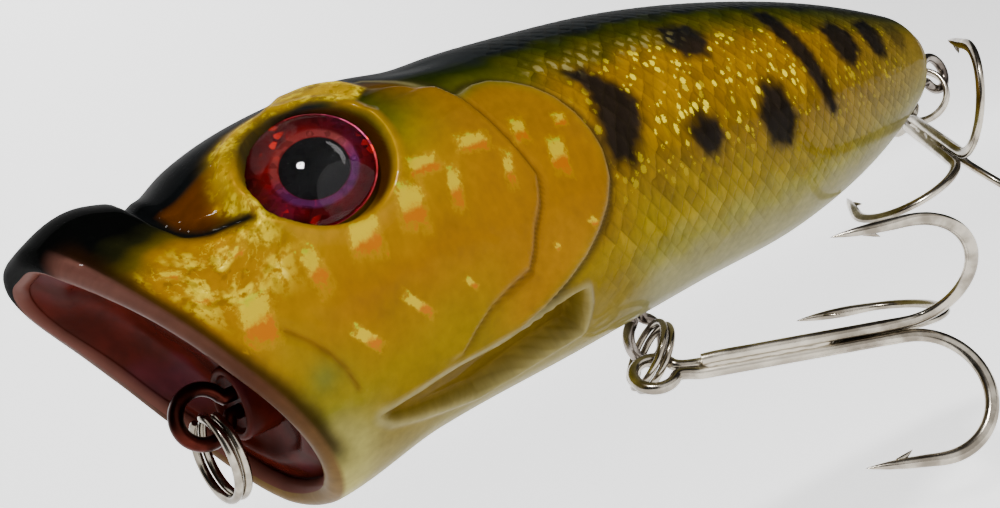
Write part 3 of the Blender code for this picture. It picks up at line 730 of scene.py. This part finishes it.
def body_material():
    n = Nodes("body_paint_and_foil")
    uv = n.add("ShaderNodeUVMap", uv_map="skin").outputs["UV"]
    split = n.add("ShaderNodeSeparateXYZ", {0: uv})
    x, s = n.times(split.outputs[0], UV_UNIT), n.times(split.outputs[1], UV_UNIT)

    fine = n.noise(900, 4, uv)
    broad = n.noise(160, 3, uv)
    wide = n.noise(28, 3, uv)
    colour = n.shaded(n.value("paint", "Color"), n.plus(n.scaled(broad, 0.5, 0.5), n.times(wide, 0.5)))

    # Scales: a net of diamonds, each with its own brightness and a painted shade across it.
    drift = n.times(n.minus(n.noise(70, 3, uv), 0.5), 0.5)
    p = n.plus(n.math("DIVIDE", x, SCALE_LENGTH), drift)
    q = n.minus(n.math("DIVIDE", s, SCALE_HEIGHT), drift)
    one, two = n.plus(p, q), n.minus(p, q)
    edge = n.math("MINIMUM", n.math("PINGPONG", one, 0.5), n.math("PINGPONG", two, 0.5))
    net = n.step(edge, 0.14, 0.02)
    cell = n.pair(n.math("FLOOR", one), n.math("FLOOR", two))
    dice = n.add("ShaderNodeTexWhiteNoise", {"Vector": cell}, noise_dimensions="3D").outputs["Value"]
    scales = n.value("scales")
    shade = n.scaled(n.minus(dice, 0.5), 0.45, 1.0)
    # Painted shade: each scale lighter towards one end.
    scale_slope_shade = n.scaled(n.plus(n.math("FRACT", one), n.math("FRACT", two)), 0.22, 0.78)
    streaks = n.scaled(n.noise(1, 3, n.pair(n.times(x, 2.6), n.times(s, 0.8))), 0.6, 0.7)
    colour = n.blend(scales, colour, n.shaded(colour, n.times(shade, scale_slope_shade, streaks)))
    colour = n.blend(n.times(net, scales, 0.14), colour, NET_DARK)

    # Painted glints: single bright points between the scales, and painted highlights on the pale scales
    # behind the gill cover.
    grains = n.cells(165.0, uv)
    luck = n.channels(grains["Color"])
    size = n.scaled(luck[1], 0.34, 0.14)
    away = n.plus(grains["Distance"], n.times(n.minus(fine, 0.5), 0.6))
    spot = n.step(n.minus(away, size), 0.06, -0.06)
    lit = n.times(n.step(luck[0], 0.35, 0.55), n.value("sparkle"))
    colour = n.blend(n.times(lit, spot), colour, SPARKLE_GOLD)
    pale = n.times(n.step(n.plus(edge, n.minus(broad, 0.5)), 0.16, 0.4), n.value("scale_highlights"))
    colour = n.blend(n.times(pale, n.step(dice, 0.1, 0.5)), colour, SCALE_HIGHLIGHT)

    # Painted reflections on the holographic cells of the film: green and yellow above, orange below, with
    # torn edges, and a painted glow round them.
    wobble = n.minus(n.noise(300, 5, uv, 0.7), 0.5)
    torn = n.times(n.step(n.value("flash"), 0.0, 0.3), 2.0, wobble)
    deep = n.plus(n.value("flash"), torn)
    upwards = n.plus(n.value("flash_height"), n.times(wobble, 0.9))
    flash_colour = n.blend(n.step(upwards, -0.35, 0.05), FLASH_ORANGE, FLASH_YELLOW)
    flash_colour = n.blend(n.step(upwards, 0.55, 0.9), flash_colour, FLASH_GREEN)
    colour = n.blend(n.times(n.step(deep, 0.45, 0.7), 0.9), colour, flash_colour)
    colour = n.blend(n.times(n.step(deep, 0.05, 0.5), 0.3), colour, FLASH_GLOW)

    # Wrinkled film with painted light and shade: thin veins and gold patches painted as lit, painted
    # highlights on their crests, and painted shade in the pits.
    wrinkled = n.value("crinkle")
    grain = n.noise(240, 5, uv, 0.6)
    patches = n.noise(42, 3, uv, 0.6)
    folds = n.math("ABSOLUTE", n.minus(n.noise(75, 5, uv, 0.6), 0.5))
    vein = n.times(n.step(folds, 0.02, 0.004), n.step(grain, 0.42, 0.62), 0.55)
    patch = n.times(n.step(patches, 0.48, 0.58), n.step(grain, 0.38, 0.54))
    crest = n.times(n.step(patches, 0.58, 0.68), n.step(grain, 0.45, 0.6))
    crinkle_colour = n.blend(crest, CRINKLE_LIT_GOLD, CRINKLE_HIGHLIGHT)
    colour = n.blend(n.times(n.math("MAXIMUM", vein, patch), wrinkled, 0.9), colour, crinkle_colour)
    pits = n.step(n.noise(130, 4, uv), 0.46, 0.36)
    colour = n.blend(n.times(pits, wrinkled, 0.5), colour, CRINKLE_PIT_SHADE)

    height = n.plus(n.times(net, -1.0, scales), n.times(grain, wrinkled))
    metal = n.value("metal")
    return n.surface(
        Base_Color=colour, Metallic=metal, Roughness=n.scaled(fine, 0.18, 0.32), Specular_IOR_Level=0.0,
        Normal=n.bump(height, 0.00004, 0.5), Coat_Weight=n.scaled(metal, 1.1, 0.08), Coat_Roughness=0.05,
        Coat_IOR=1.2, Coat_Normal=n.bump(n.noise(60, 2, uv), 0.00005, 0.08),
    )


def mouth_material():
    n = Nodes("mouth_lacquer")
    place = n.place()
    mottle = n.noise(420, 4, place)
    inner = n.blend(n.step(mottle, 0.35, 0.68), srgb(44, 9, 3), srgb(60, 14, 7))
    sheen = n.step(n.noise(170, 2, place), 0.52, 0.7)
    inner = n.blend(n.times(sheen, 0.2), inner, srgb(66, 34, 56))
    outer = n.blend(n.noise(700, 3, place), srgb(72, 42, 35), srgb(86, 52, 44))
    return n.surface(
        Base_Color=n.blend(n.value("lip"), inner, outer), Roughness=n.scaled(mottle, 0.25, 0.22),
        Normal=n.bump(n.noise(260, 3, place), 0.0001, 0.4), Specular_IOR_Level=0.0,
        Coat_Weight=0.25, Coat_Roughness=0.25, Coat_IOR=1.2,
    )


def metal_material(name, light, dark, rough):
    """Drawn or plated wire, with rough uneven braze where the braze value says."""
    n = Nodes(name)
    place = n.place()
    brazed = n.value("braze")
    cloud = n.noise(500, 4, place)
    grain = n.noise(4200, 3, place)
    colour = n.blend(n.step(cloud, 0.38, 0.66), dark, light)
    braze = n.blend(n.noise(900, 4, place), srgb(150, 140, 122), srgb(214, 206, 190))
    colour = n.blend(n.times(brazed, 0.8), colour, braze)
    roughness = n.plus(n.scaled(cloud, 0.16, rough - 0.05), n.times(brazed, 0.14))
    height = n.plus(grain, n.times(brazed, 4.0, n.noise(1500, 4, place)))
    normal = n.bump(height, 0.00001, 0.35)
    return n.surface(Base_Color=colour, Metallic=1.0, Roughness=roughness, Normal=normal)


def iris_material():
    n = Nodes("eye_holographic_red")
    radius, turn, pupil = n.value("radius"), n.value("turn"), n.value("pupil")
    place = n.place()
    dice = n.channels(n.cells(2500.0, place)["Color"])[0]
    mottle = n.noise(520, 4, place, 0.65)
    ring = n.blend(n.step(radius, 0.6, 0.95), srgb(106, 3, 4), srgb(42, 0, 5))
    ring = n.blend(n.step(mottle, 0.42, 0.62), srgb(64, 0, 4), ring)
    purple_side = n.step(n.math("SINE", n.scaled(turn, 2.0, 0.9)), 0.35, 0.95)
    ring = n.blend(n.times(purple_side, n.step(mottle, 0.4, 0.55), 0.3), ring, srgb(74, 18, 52))
    # Painted glints: bright red flecks in three sectors round the ring.
    glint_side = n.step(n.math("SINE", n.scaled(turn, 3.0, 2.2)), 0.3, 0.95)
    ring = n.blend(n.times(glint_side, n.step(dice, 0.8, 0.9), 0.65), ring, srgb(220, 34, 12))
    outside_pupil = n.step(pupil, 0.53, 0.56)
    inner_ring = n.times(outside_pupil, n.step(pupil, 0.71, 0.63))
    # A ring round the pupil, purple on one side, with a painted reflection in pink on the other side.
    halo_and_reflection = n.blend(n.step(n.math("SINE", turn), -0.4, 0.4), srgb(84, 40, 96), srgb(128, 58, 54))
    ring = n.blend(n.times(inner_ring, 0.6), ring, halo_and_reflection)
    return n.surface(
        Base_Color=n.blend(n.step(pupil, 0.525, 0.545), srgb(16, 17, 18), ring),
        Metallic=n.times(outside_pupil, 0.4), Roughness=n.scaled(dice, 0.2, 0.22),
        Normal=n.bump(n.times(dice, outside_pupil), 0.00003, 0.35), Specular_IOR_Level=0.03,
    )


def lens_material():
    n = Nodes("eye_clear_resin")
    dust = n.noise(1400, 3, n.place())
    return n.surface(
        Base_Color=n.blend(dust, (0.97, 0.95, 0.95), (1.0, 0.99, 0.98)), Transmission_Weight=1.0, IOR=1.15,
        Roughness=n.scaled(dust, 0.02, 0.004), Coat_Weight=1.0, Coat_Roughness=0.01, Coat_IOR=1.18,
    )


def floor_material():
    n = Nodes("studio_sweep")
    colour = n.blend(n.noise(3, 2, n.place()), (0.86, 0.86, 0.86), (0.9, 0.9, 0.9))
    return n.surface(
        Base_Color=colour, Roughness=0.6, Specular_IOR_Level=0.1, Emission_Color=(1.0, 1.0, 1.0),
        Emission_Strength=1.2,
    )


# ---- pieces of the body

ANGLES = np.concatenate([
    np.linspace(-90, 6, 80, endpoint=False), np.linspace(6, 60, 77, endpoint=False), np.linspace(60, 90, 26),
])
HEAD_END = 36.5
TAIL_START = 80.0
HEAD_ROWS = 196
FLANK_ROWS = 190
TAIL_ROWS = 34
LIP_TURNS = (104, 92, 80, 68, 56, 44, 32, 21, 10)
FAR_FROM_EYE = 99.0


def skin_columns():
    """Places along the body for each angle: rows of x, close together on the head."""
    start = rim_station(ANGLES) + LIP_RADIUS
    share = np.interp(np.arange(HEAD_ROWS), (0, 46, 130, HEAD_ROWS - 1), (0, 0.27, 0.6, 1))[:, None]
    head = start + (HEAD_END - start) * share
    flank = np.linspace(HEAD_END, TAIL_START, FLANK_ROWS)[1:, None] + 0 * start
    share = np.sin(np.linspace(0, math.pi / 2, TAIL_ROWS))[1:, None]
    tail = TAIL_START + (BODY_LENGTH - TAIL_START) * share + 0 * start
    return np.concatenate([head, flank, tail])


def lip_ring(turn, angle):
    """Points of the rounded lip: turn 0 is on the outer skin, 90 right at the front, 180 inside the mouth."""
    x = rim_station(angle) + LIP_RADIUS
    normal, ahead = skin_normal(x, angle)
    ahead = unit(ahead - normal * (ahead * normal).sum(-1, keepdims=True))
    lift = relief(x, angle)[..., None]
    centre = skin(x, angle) + normal * (lift - LIP_RADIUS)
    turn = math.radians(turn)
    points = centre + LIP_RADIUS * (normal * math.cos(turn) + ahead * math.sin(turn))
    points[..., 1] = np.where(np.abs(angle) >= SEAM_ANGLE, 0.0, points[..., 1])
    return points


def add_skin(label, side, material):
    """One painted half of the body, from the front of the lip to the tail. side is -1 on the left."""
    x = skin_columns()
    a = np.broadcast_to(ANGLES, x.shape)
    flat = skin(x, a)
    normal, _ = skin_normal(x, a)
    sink, eye_radius, eye_behind = socket_sink(flat)
    lift = relief(x, a) * smooth(SOCKET_RADIUS - 0.3, SOCKET_RADIUS + 0.3, eye_radius)
    points = flat + normal * lift[..., None] - EYE_OUT * sink[..., None]
    points[:, (0, -1), 1] = 0.0
    points[-1, :, 1] = 0.0
    points = np.concatenate([np.stack([lip_ring(turn, ANGLES) for turn in LIP_TURNS]), points])
    if side > 0:
        points = mirror(points)

    lip_x = np.stack([x[0] - LIP_RADIUS * math.sin(math.radians(turn)) for turn in LIP_TURNS])
    x = np.concatenate([lip_x, x])
    a = np.broadcast_to(ANGLES, x.shape)
    eye_radius = np.concatenate([np.full(lip_x.shape, FAR_FROM_EYE), eye_radius])
    eye_behind = np.concatenate([np.zeros(lip_x.shape), eye_behind])
    from_rim = x - rim_station(ANGLES)
    colours = paint(x, a, from_rim, eye_radius, eye_behind)
    brightness = colours.mean(-1) / PAINT_DEPTH
    outside_eye = smooth(SOCKET_RADIUS, SOCKET_RADIUS + 0.4, eye_radius)
    unpainted = smooth(0.05, 0.14, brightness) * smooth(1.2, 2.2, from_rim)
    behind_gill = smooth(0.1, -0.5, inside_distance(x, a, GILL_EDGE)) * smooth(31.5, 34.5, x)
    flash, flash_height = flash_fields(x, a)

    faces = grid_faces(*x.shape)
    if side < 0:
        faces = [tuple(reversed(face)) for face in faces]
    mesh = mesh_of(f"body_skin_{label}", to_world(points.reshape(-1, 3)), faces)
    add_colours(mesh, "paint", colours)
    for field, values in (
        ("scales", behind_gill * smooth(84, 76, x) * smooth(-62, -18, a)),
        ("flash", flash * outside_eye),
        ("flash_height", flash_height),
        ("scale_highlights", scale_highlight_weight(x, a)),
        ("crinkle", crinkle_weight(x, a) * outside_eye * unpainted),
        ("sparkle", sparkle_weight(x, a) * smooth(0.03, 0.12, brightness)),
        ("metal", metal_weight(x, a) * smooth(0.02, 0.1, brightness)),
    ):
        add_values(mesh, field, values)
    add_uv(mesh, x, a * MM_PER_DEGREE)
    link(f"body_skin_{label}", mesh, "lure_body", material, f"body_shell_{label}")


def add_mouth(material):
    """The lining from the front of the lip into the cup, closed across its middle."""
    controls = [lip_ring(turn, ANGLES) for turn in (92, 110, 128, 146, 164, 180)]
    rim = skin(rim_station(ANGLES), ANGLES)
    for share, depth in CUP_ROWS:
        controls.append(MOUTH_CENTRE + (rim - MOUTH_CENTRE) * share + MOUTH_INWARD * depth)
    places = np.linspace(0, len(controls) - 1, 4 * (len(controls) - 1) + 1)
    rows = curve_through(np.arange(len(controls)), np.array(controls), places)
    rows = np.concatenate([rows, mirror(rows[:, -2:0:-1])], axis=1)
    row_count, count = rows.shape[:2]
    mesh = mesh_of("mouth_lining", to_world(rows.reshape(-1, 3)), grid_faces(row_count, count, wrap=True))
    add_values(mesh, "lip", np.repeat(smooth(0.48, 0.12, np.linspace(0, 1, row_count)), count))
    link("mouth_lining", mesh, "lure_body", material, "mouth_cup")


def turned(profile, axis_point, axis, around):
    """(points, faces) of a shape turned about an axis, from (radius, height) pairs."""
    axis = unit(axis)
    first = unit(np.cross(axis, (0.2, 0.3, 0.9)))
    second = np.cross(axis, first)
    turn = np.linspace(0, 2 * math.pi, around, endpoint=False)
    spokes = np.cos(turn)[:, None] * first + np.sin(turn)[:, None] * second
    points = np.concatenate([np.asarray(axis_point) + spokes * r + axis * h for r, h in profile])
    return points, grid_faces(len(profile), around, wrap=True)


# The boss's profile, from its root to its dished middle: radius, height, and how pale its colour is.
BOSS = (
    (2.3, 3.9, 0), (2.3, 2.0, 0), (2.26, 1.8, 0.1), (2.14, 1.7, 0.25), (1.98, 1.68, 0.3), (1.84, 1.74, 0.2),
    (1.76, 1.88, 0.05), (1.7, 2.1, 0), (1.5, 2.2, 0), (0.9, 2.24, 0), (0.01, 2.25, 0),
)
BOSS_STEPS = 64
EYE_STEPS = 96


def add_boss(material):
    """The round seat that the line tie comes out of, with its dished face."""
    points, faces = turned([row[:2] for row in BOSS], LINE_TIE, (1.0, 0.0, 0.0), BOSS_STEPS)
    mesh = mesh_of("mouth_boss", to_world(points), [tuple(reversed(face)) for face in faces])
    add_values(mesh, "lip", np.repeat([row[2] for row in BOSS], BOSS_STEPS))
    link("mouth_boss", mesh, "lure_body", material)


def add_eye(label, place, iris, lens):
    """A cupped red disc in the socket and the clear dome over it. place is mirror on the right side."""
    out = place(EYE_OUT)
    base = place(EYE_CENTRE + EYE_SHIFT) - out * IRIS_DEPTH
    radii = np.linspace(SOCKET_FLOOR + 0.12, 0.01, 46)
    shares = radii / SOCKET_FLOOR
    points, faces = turned(list(zip(radii, 0.16 * shares**2)), base, out, EYE_STEPS)
    mesh = mesh_of(f"eye_iris_{label}", to_world(points), faces)
    add_values(mesh, "radius", np.repeat(shares, EYE_STEPS))
    add_values(mesh, "pupil", np.linalg.norm(points - base - place(PUPIL_SHIFT), axis=1) / SOCKET_FLOOR)
    outermost = points[:EYE_STEPS] - base
    up = unit(np.cross(out, (1.0, 0.0, 0.0)))
    angle = np.arctan2(outermost @ up, outermost @ np.cross(up, out))
    add_values(mesh, "turn", np.tile(angle, len(radii)))
    link(f"eye_iris_{label}", mesh, "lure_body", iris, f"eye_disc_{label}")

    half, under_height = SOCKET_FLOOR - 0.02, 0.2
    sphere = (half**2 + LENS_HEIGHT**2) / (2 * LENS_HEIGHT)
    arc = np.linspace(math.asin(half / sphere), 0.003, 22)
    dome = [(sphere * math.sin(t), sphere * math.cos(t) - sphere + LENS_HEIGHT + 0.3) for t in arc]
    under = [(r, under_height) for r in (0.01, half * 0.5, half - 0.04)] + [(half, under_height + 0.04)]
    points, faces = turned(under + dome, base, out, EYE_STEPS)
    mesh = mesh_of(f"eye_dome_{label}", to_world(points), faces, sharp=50)
    link(f"eye_dome_{label}", mesh, "lure_body", lens, f"eye_lens_{label}")


# ---- wires, rings and hooks

# A hook's point as (share of its length, share of the wire's radius), and its barb as (mm along from its
# root, mm out, radius).
POINT_TAPER = ((0.0, 1.0), (0.25, 0.97), (0.5, 0.86), (0.7, 0.66), (0.85, 0.4), (0.95, 0.18), (1.0, 0.04))
BARB = ((-0.9, 0.12, 0.05), (-0.3, -0.08, 0.2), (0.35, -0.36, 0.15), (0.8, -0.62, 0.02))
HOOK_STRAIGHT = TREBLE_LENGTH - TREBLE_GAP / 2
COIL_DEGREES = 680
COIL_CROSSING = (325, 355)
BRAZE_STEPS = 50


def basis(x_axis, y_axis):
    x_axis = unit(x_axis)
    y_axis = np.asarray(y_axis, float)
    y_axis = unit(y_axis - x_axis * x_axis.dot(y_axis))
    return x_axis, y_axis, np.cross(x_axis, y_axis)


def add_metal(name, pieces, body, material, node, braze=None):
    points, faces = joined(pieces)
    mesh = mesh_of(name, to_world(points), faces, sharp=55)
    add_values(mesh, "braze", np.zeros(len(points)) if braze is None else braze(points))
    link(name, mesh, body, material, node)


def add_wire_eye(part, hole, outward, across, leg, material):
    """A loop of wire with two straight legs into the body."""
    outward, across = np.array(outward, float), np.array(across, float)
    opening = math.asin(LEG_OFFSET / EYE_LOOP_RADIUS)
    turns = np.linspace(-math.pi + opening, math.pi - opening, 60)
    depths = (leg, 2.2, 1.9)
    flat = [(-depth, -LEG_OFFSET) for depth in depths]
    flat += [(EYE_LOOP_RADIUS * math.cos(t), EYE_LOOP_RADIUS * math.sin(t)) for t in turns]
    flat += [(-depth, LEG_OFFSET) for depth in reversed(depths)]
    path = np.array([hole + outward * p + across * q for p, q in flat])
    wire = tube(path, np.full(len(path), WIRE_RADIUS), 20)
    add_metal(f"{part}_loop", [wire], "lure_body", material, f"{part}_wire")


def add_split_ring(part, hole, lie, material, first=20.0):
    """A double coil, which crosses from one turn to the other halfway and tapers at its ends."""
    out, sideways, axis = basis(*lie)
    turn = np.linspace(first, first + COIL_DEGREES, 260)
    layer = (smooth(first + COIL_CROSSING[0], first + COIL_CROSSING[1], turn) - 0.5) * RING_PITCH
    angle = np.radians(turn + 90)
    spoke = -out * np.cos(angle)[:, None] + sideways * np.sin(angle)[:, None]
    path = hole + out * RING_RADIUS + spoke * RING_RADIUS + axis * layer[:, None]
    from_end = np.minimum(turn - turn[0], turn[-1] - turn)
    radii = RING_WIRE * (0.72 + 0.28 * smooth(0, 6, from_end))
    coil = tube(path, radii, 16)
    add_metal(f"{part}_ring_coil", [coil], f"{part}_ring", material, f"{part}_split_ring")


def in_hook_plane(pairs, side):
    """Points from (along the shank, out to the hook's side) pairs."""
    shank = np.array((1.0, 0.0, 0.0))
    return np.array([shank * x + side * y for x, y in pairs])


def hook_pieces(side, turn, start):
    """The wire of one hook with its forged bend, and the barb on its point."""
    bend = TREBLE_GAP / 2
    path = [(x, SHANK_OFFSET) for x in (4.2, 7.0, 11.0, HOOK_STRAIGHT - 1.0, HOOK_STRAIGHT)]
    for i in range(1, 24):
        t = math.pi * i / 24
        path.append((HOOK_STRAIGHT + bend * math.sin(t), SHANK_OFFSET + bend * (1 - math.cos(t))))
    shank_count = len(start) + len(path)
    for share, _ in POINT_TAPER:
        path.append((HOOK_STRAIGHT - POINT_LENGTH * share, SHANK_OFFSET + TREBLE_GAP - 0.25 * share))
    points = np.concatenate([start, in_hook_plane(path, side)])
    radii = np.array([TREBLE_WIRE] * shank_count + [TREBLE_WIRE * share for _, share in POINT_TAPER])
    radii[: len(start)] *= 0.98
    path, radii = resample(points, radii, 0.22)
    forged = smooth(HOOK_STRAIGHT - 2.0, HOOK_STRAIGHT + 1.2, path[:, 0])
    plane_normal = turn @ np.cross((1.0, 0.0, 0.0), side)
    wire = tube(path @ turn.T, radii, 18, flat_normal=plane_normal, flat=0.26 * forged)
    root = HOOK_STRAIGHT - POINT_LENGTH * 0.52
    height = SHANK_OFFSET + TREBLE_GAP - 0.3
    barb = in_hook_plane([(root + ahead, height + out) for ahead, out, _ in BARB], side)
    spur = tube(barb @ turn.T, np.array([radius for _, _, radius in BARB]), 10)
    return [wire, spur]


def add_treble(name, hole, lie, material):
    """Two pieces: one hook with the braze, and the wire that makes two hooks and the eye."""
    turn = np.array(basis(*lie)).T

    def side_at(degrees):
        return np.array((0.0, math.cos(math.radians(degrees)), math.sin(math.radians(degrees))))

    def foot(degrees, x):
        return side_at(degrees) * SHANK_OFFSET + (x, 0.0, 0.0)

    def placed(pieces):
        return [(points + hole, faces) for points, faces in pieces]

    def braze(points):
        local = (points - hole) @ turn
        radius = np.hypot(local[:, 1], local[:, 2])
        return smooth(2.6, 3.4, local[:, 0]) * smooth(13.2, 11.6, local[:, 0]) * smooth(1.1, 0.75, radius)

    pieces = hook_pieces(side_at(0), turn, np.array([(3.3, SHANK_OFFSET * 0.9, 0.0)]))
    reach = np.linspace(3.2, 12.6, BRAZE_STEPS)
    filler = np.stack([reach, 0.06 * np.sin(1.7 * reach), 0.05 * np.cos(2.3 * reach)], axis=1)
    share = np.linspace(0, 1, BRAZE_STEPS)
    bulk = 0.5 + 0.05 * np.sin(21 * share) + 0.03 * np.sin(47 * share)
    bulk[:4] *= (0.25, 0.6, 0.85, 0.95)
    bulk[-5:] *= (0.95, 0.85, 0.65, 0.4, 0.12)
    pieces.append(tube(filler @ turn.T, bulk, 16))
    add_metal(f"{name}_single", placed(pieces), name, material, f"{name}_single_hook", braze)

    pieces = []
    near, far = SHANK_START + 1.0, SHANK_START + 1.6
    for degrees in (120, 240):
        pieces += hook_pieces(side_at(degrees), turn, foot(degrees, near)[None])
    neck = math.radians(28)
    angles = np.linspace(neck, 2 * math.pi - neck, 46)
    loop = np.stack([np.cos(angles), 0 * angles, np.sin(angles)], axis=1) * TREBLE_EYE_RADIUS
    eye_path = np.concatenate([[foot(120, far), foot(120, near)], loop, [foot(240, near), foot(240, far)]])
    path, radii = resample(eye_path, np.full(len(eye_path), TREBLE_WIRE), 0.16)
    pieces.append(tube(path @ turn.T, radii, 18))
    add_metal(f"{name}_double", placed(pieces), name, material, f"{name}_double_hook", braze)


# ---- the object

BODY_LOOK = body_material()
MOUTH_LOOK = mouth_material()
NICKEL = metal_material("nickel_plate", srgb(178, 170, 156), srgb(120, 112, 100), 0.16)
STAINLESS = metal_material("drawn_stainless", srgb(150, 142, 134), srgb(84, 76, 70), 0.2)
LACQUERED = metal_material("lacquered_wire", srgb(66, 26, 20), srgb(38, 14, 10), 0.3)
STEEL = metal_material("tumbled_steel", srgb(150, 150, 152), srgb(96, 96, 98), 0.4)
IRIS_LOOK = iris_material()
LENS_LOOK = lens_material()

add_skin("left", -1, BODY_LOOK)
add_skin("right", 1, BODY_LOOK)
add_mouth(MOUTH_LOOK)
add_boss(MOUTH_LOOK)
add_eye("left", np.asarray, IRIS_LOOK, LENS_LOOK)
add_eye("right", mirror, IRIS_LOOK, LENS_LOOK)

add_wire_eye("line_tie", LINE_TIE, (-1, 0, 0), (0, 0, 1), 9.0, LACQUERED)
add_wire_eye("belly_hanger", BELLY_EYE, (0, 0, -1), (1, 0, 0), 7.2, STAINLESS)
add_wire_eye("tail_hanger", TAIL_EYE, (1, 0, 0), (0, 0, 1), 11.5, STAINLESS)
add_split_ring("nose", LINE_TIE, NOSE_RING, NICKEL, 290.0)
add_split_ring("belly", BELLY_EYE, BELLY_RING, NICKEL)
add_split_ring("tail", TAIL_EYE, TAIL_RING, NICKEL)
add_treble("belly_treble", BELLY_EYE + unit(BELLY_RING[0]) * 2 * RING_RADIUS, BELLY_TREBLE, NICKEL)
add_treble("tail_treble", TAIL_EYE + unit(TAIL_RING[0]) * 2 * RING_RADIUS, TAIL_TREBLE, NICKEL)

hidden_looks = {"foil_left": BODY_LOOK, "foil_right": BODY_LOOK, "ballast_weight": STEEL}
hidden_looks.update({f"rattle_ball_{number}": STEEL for number in (1, 2, 3)})
for node, look in hidden_looks.items():
    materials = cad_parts[node].data.materials
    materials.clear()
    materials.append(look)


# ---- studio

# Room under the CAD box for the belly treble, which hangs lower at its limits.
HANG_ROOM = 0.0145
FLOOR_Z = CAD_LOW[2] - HANG_ROOM
MIDDLE = (0.03, 0.0, 0.0)


def add_sweep():
    """A floor that curves up into a backdrop far behind the object."""
    front, bend_start, bend_radius, top, half_width = -1.6, 0.5, 0.5, 2.4, 2.5
    profile = [(front, 0.0), (bend_start, 0.0)]
    for t in np.linspace(0.1, math.pi / 2, 14):
        profile.append((bend_start + bend_radius * math.sin(t), bend_radius - bend_radius * math.cos(t)))
    profile.append((bend_start + bend_radius, top))
    points = np.array([(x, y, z + FLOOR_Z) for y, z in profile for x in (-half_width, half_width)])
    mesh = mesh_of("studio_sweep", points, grid_faces(len(profile), 2))
    mesh.materials.append(floor_material())
    obj = bpy.data.objects.new("studio_sweep", mesh)
    bpy.context.scene.collection.objects.link(obj)


def add_light(name, place, target, size, power):
    light = bpy.data.lights.new(name, "AREA")
    light.shape = "ELLIPSE"
    light.size, light.size_y = size
    light.energy = power
    obj = bpy.data.objects.new(name, light)
    obj.location = place
    obj.rotation_euler = (Vector(target) - Vector(place)).to_track_quat("-Z", "Y").to_euler()
    bpy.context.scene.collection.objects.link(obj)


add_sweep()
add_light("soft_key", (-0.091, -0.196, 0.301), (0.01, -0.005, 0.005), (0.045, 0.045), 1.68)
add_light("soft_fill", (0.051, -0.358, 0.087), MIDDLE, (0.42, 0.42), 0.64)
add_light("soft_backdrop", (0.3, 0.3, 0.7), (0.4, 1.2, 0.5), (0.6, 0.4), 8.0)

world = bpy.data.worlds.new("studio")
world.use_nodes = True
world.node_tree.nodes["Background"].inputs["Color"].default_value = (1.0, 1.0, 1.0, 1.0)
world.node_tree.nodes["Background"].inputs["Strength"].default_value = 0.05
bpy.context.scene.world = world


# ---- camera

CAMERA_PLACE = Vector((-0.02478, -0.06754, 0.00045))
CAMERA_AIM = Vector((0.02384, 0.0, 0.00201))
CAMERA_ROLL = math.radians(23.54)


def add_camera():
    data = bpy.data.cameras.new("camera")
    data.sensor_width = 36.0
    data.lens = 43.48
    data.clip_start = 0.002
    obj = bpy.data.objects.new("camera", data)
    ahead = (CAMERA_AIM - CAMERA_PLACE).normalized()
    right = ahead.cross(Vector((0, 0, 1))).normalized()
    up = right.cross(ahead)
    turned_right = right * math.cos(CAMERA_ROLL) - up * math.sin(CAMERA_ROLL)
    turned_up = right * math.sin(CAMERA_ROLL) + up * math.cos(CAMERA_ROLL)
    rotation = Matrix((turned_right, turned_up, -ahead)).transposed()
    obj.matrix_world = Matrix.Translation(CAMERA_PLACE) @ rotation.to_4x4()
    bpy.context.scene.collection.objects.link(obj)
    bpy.context.scene.camera = obj


add_camera()
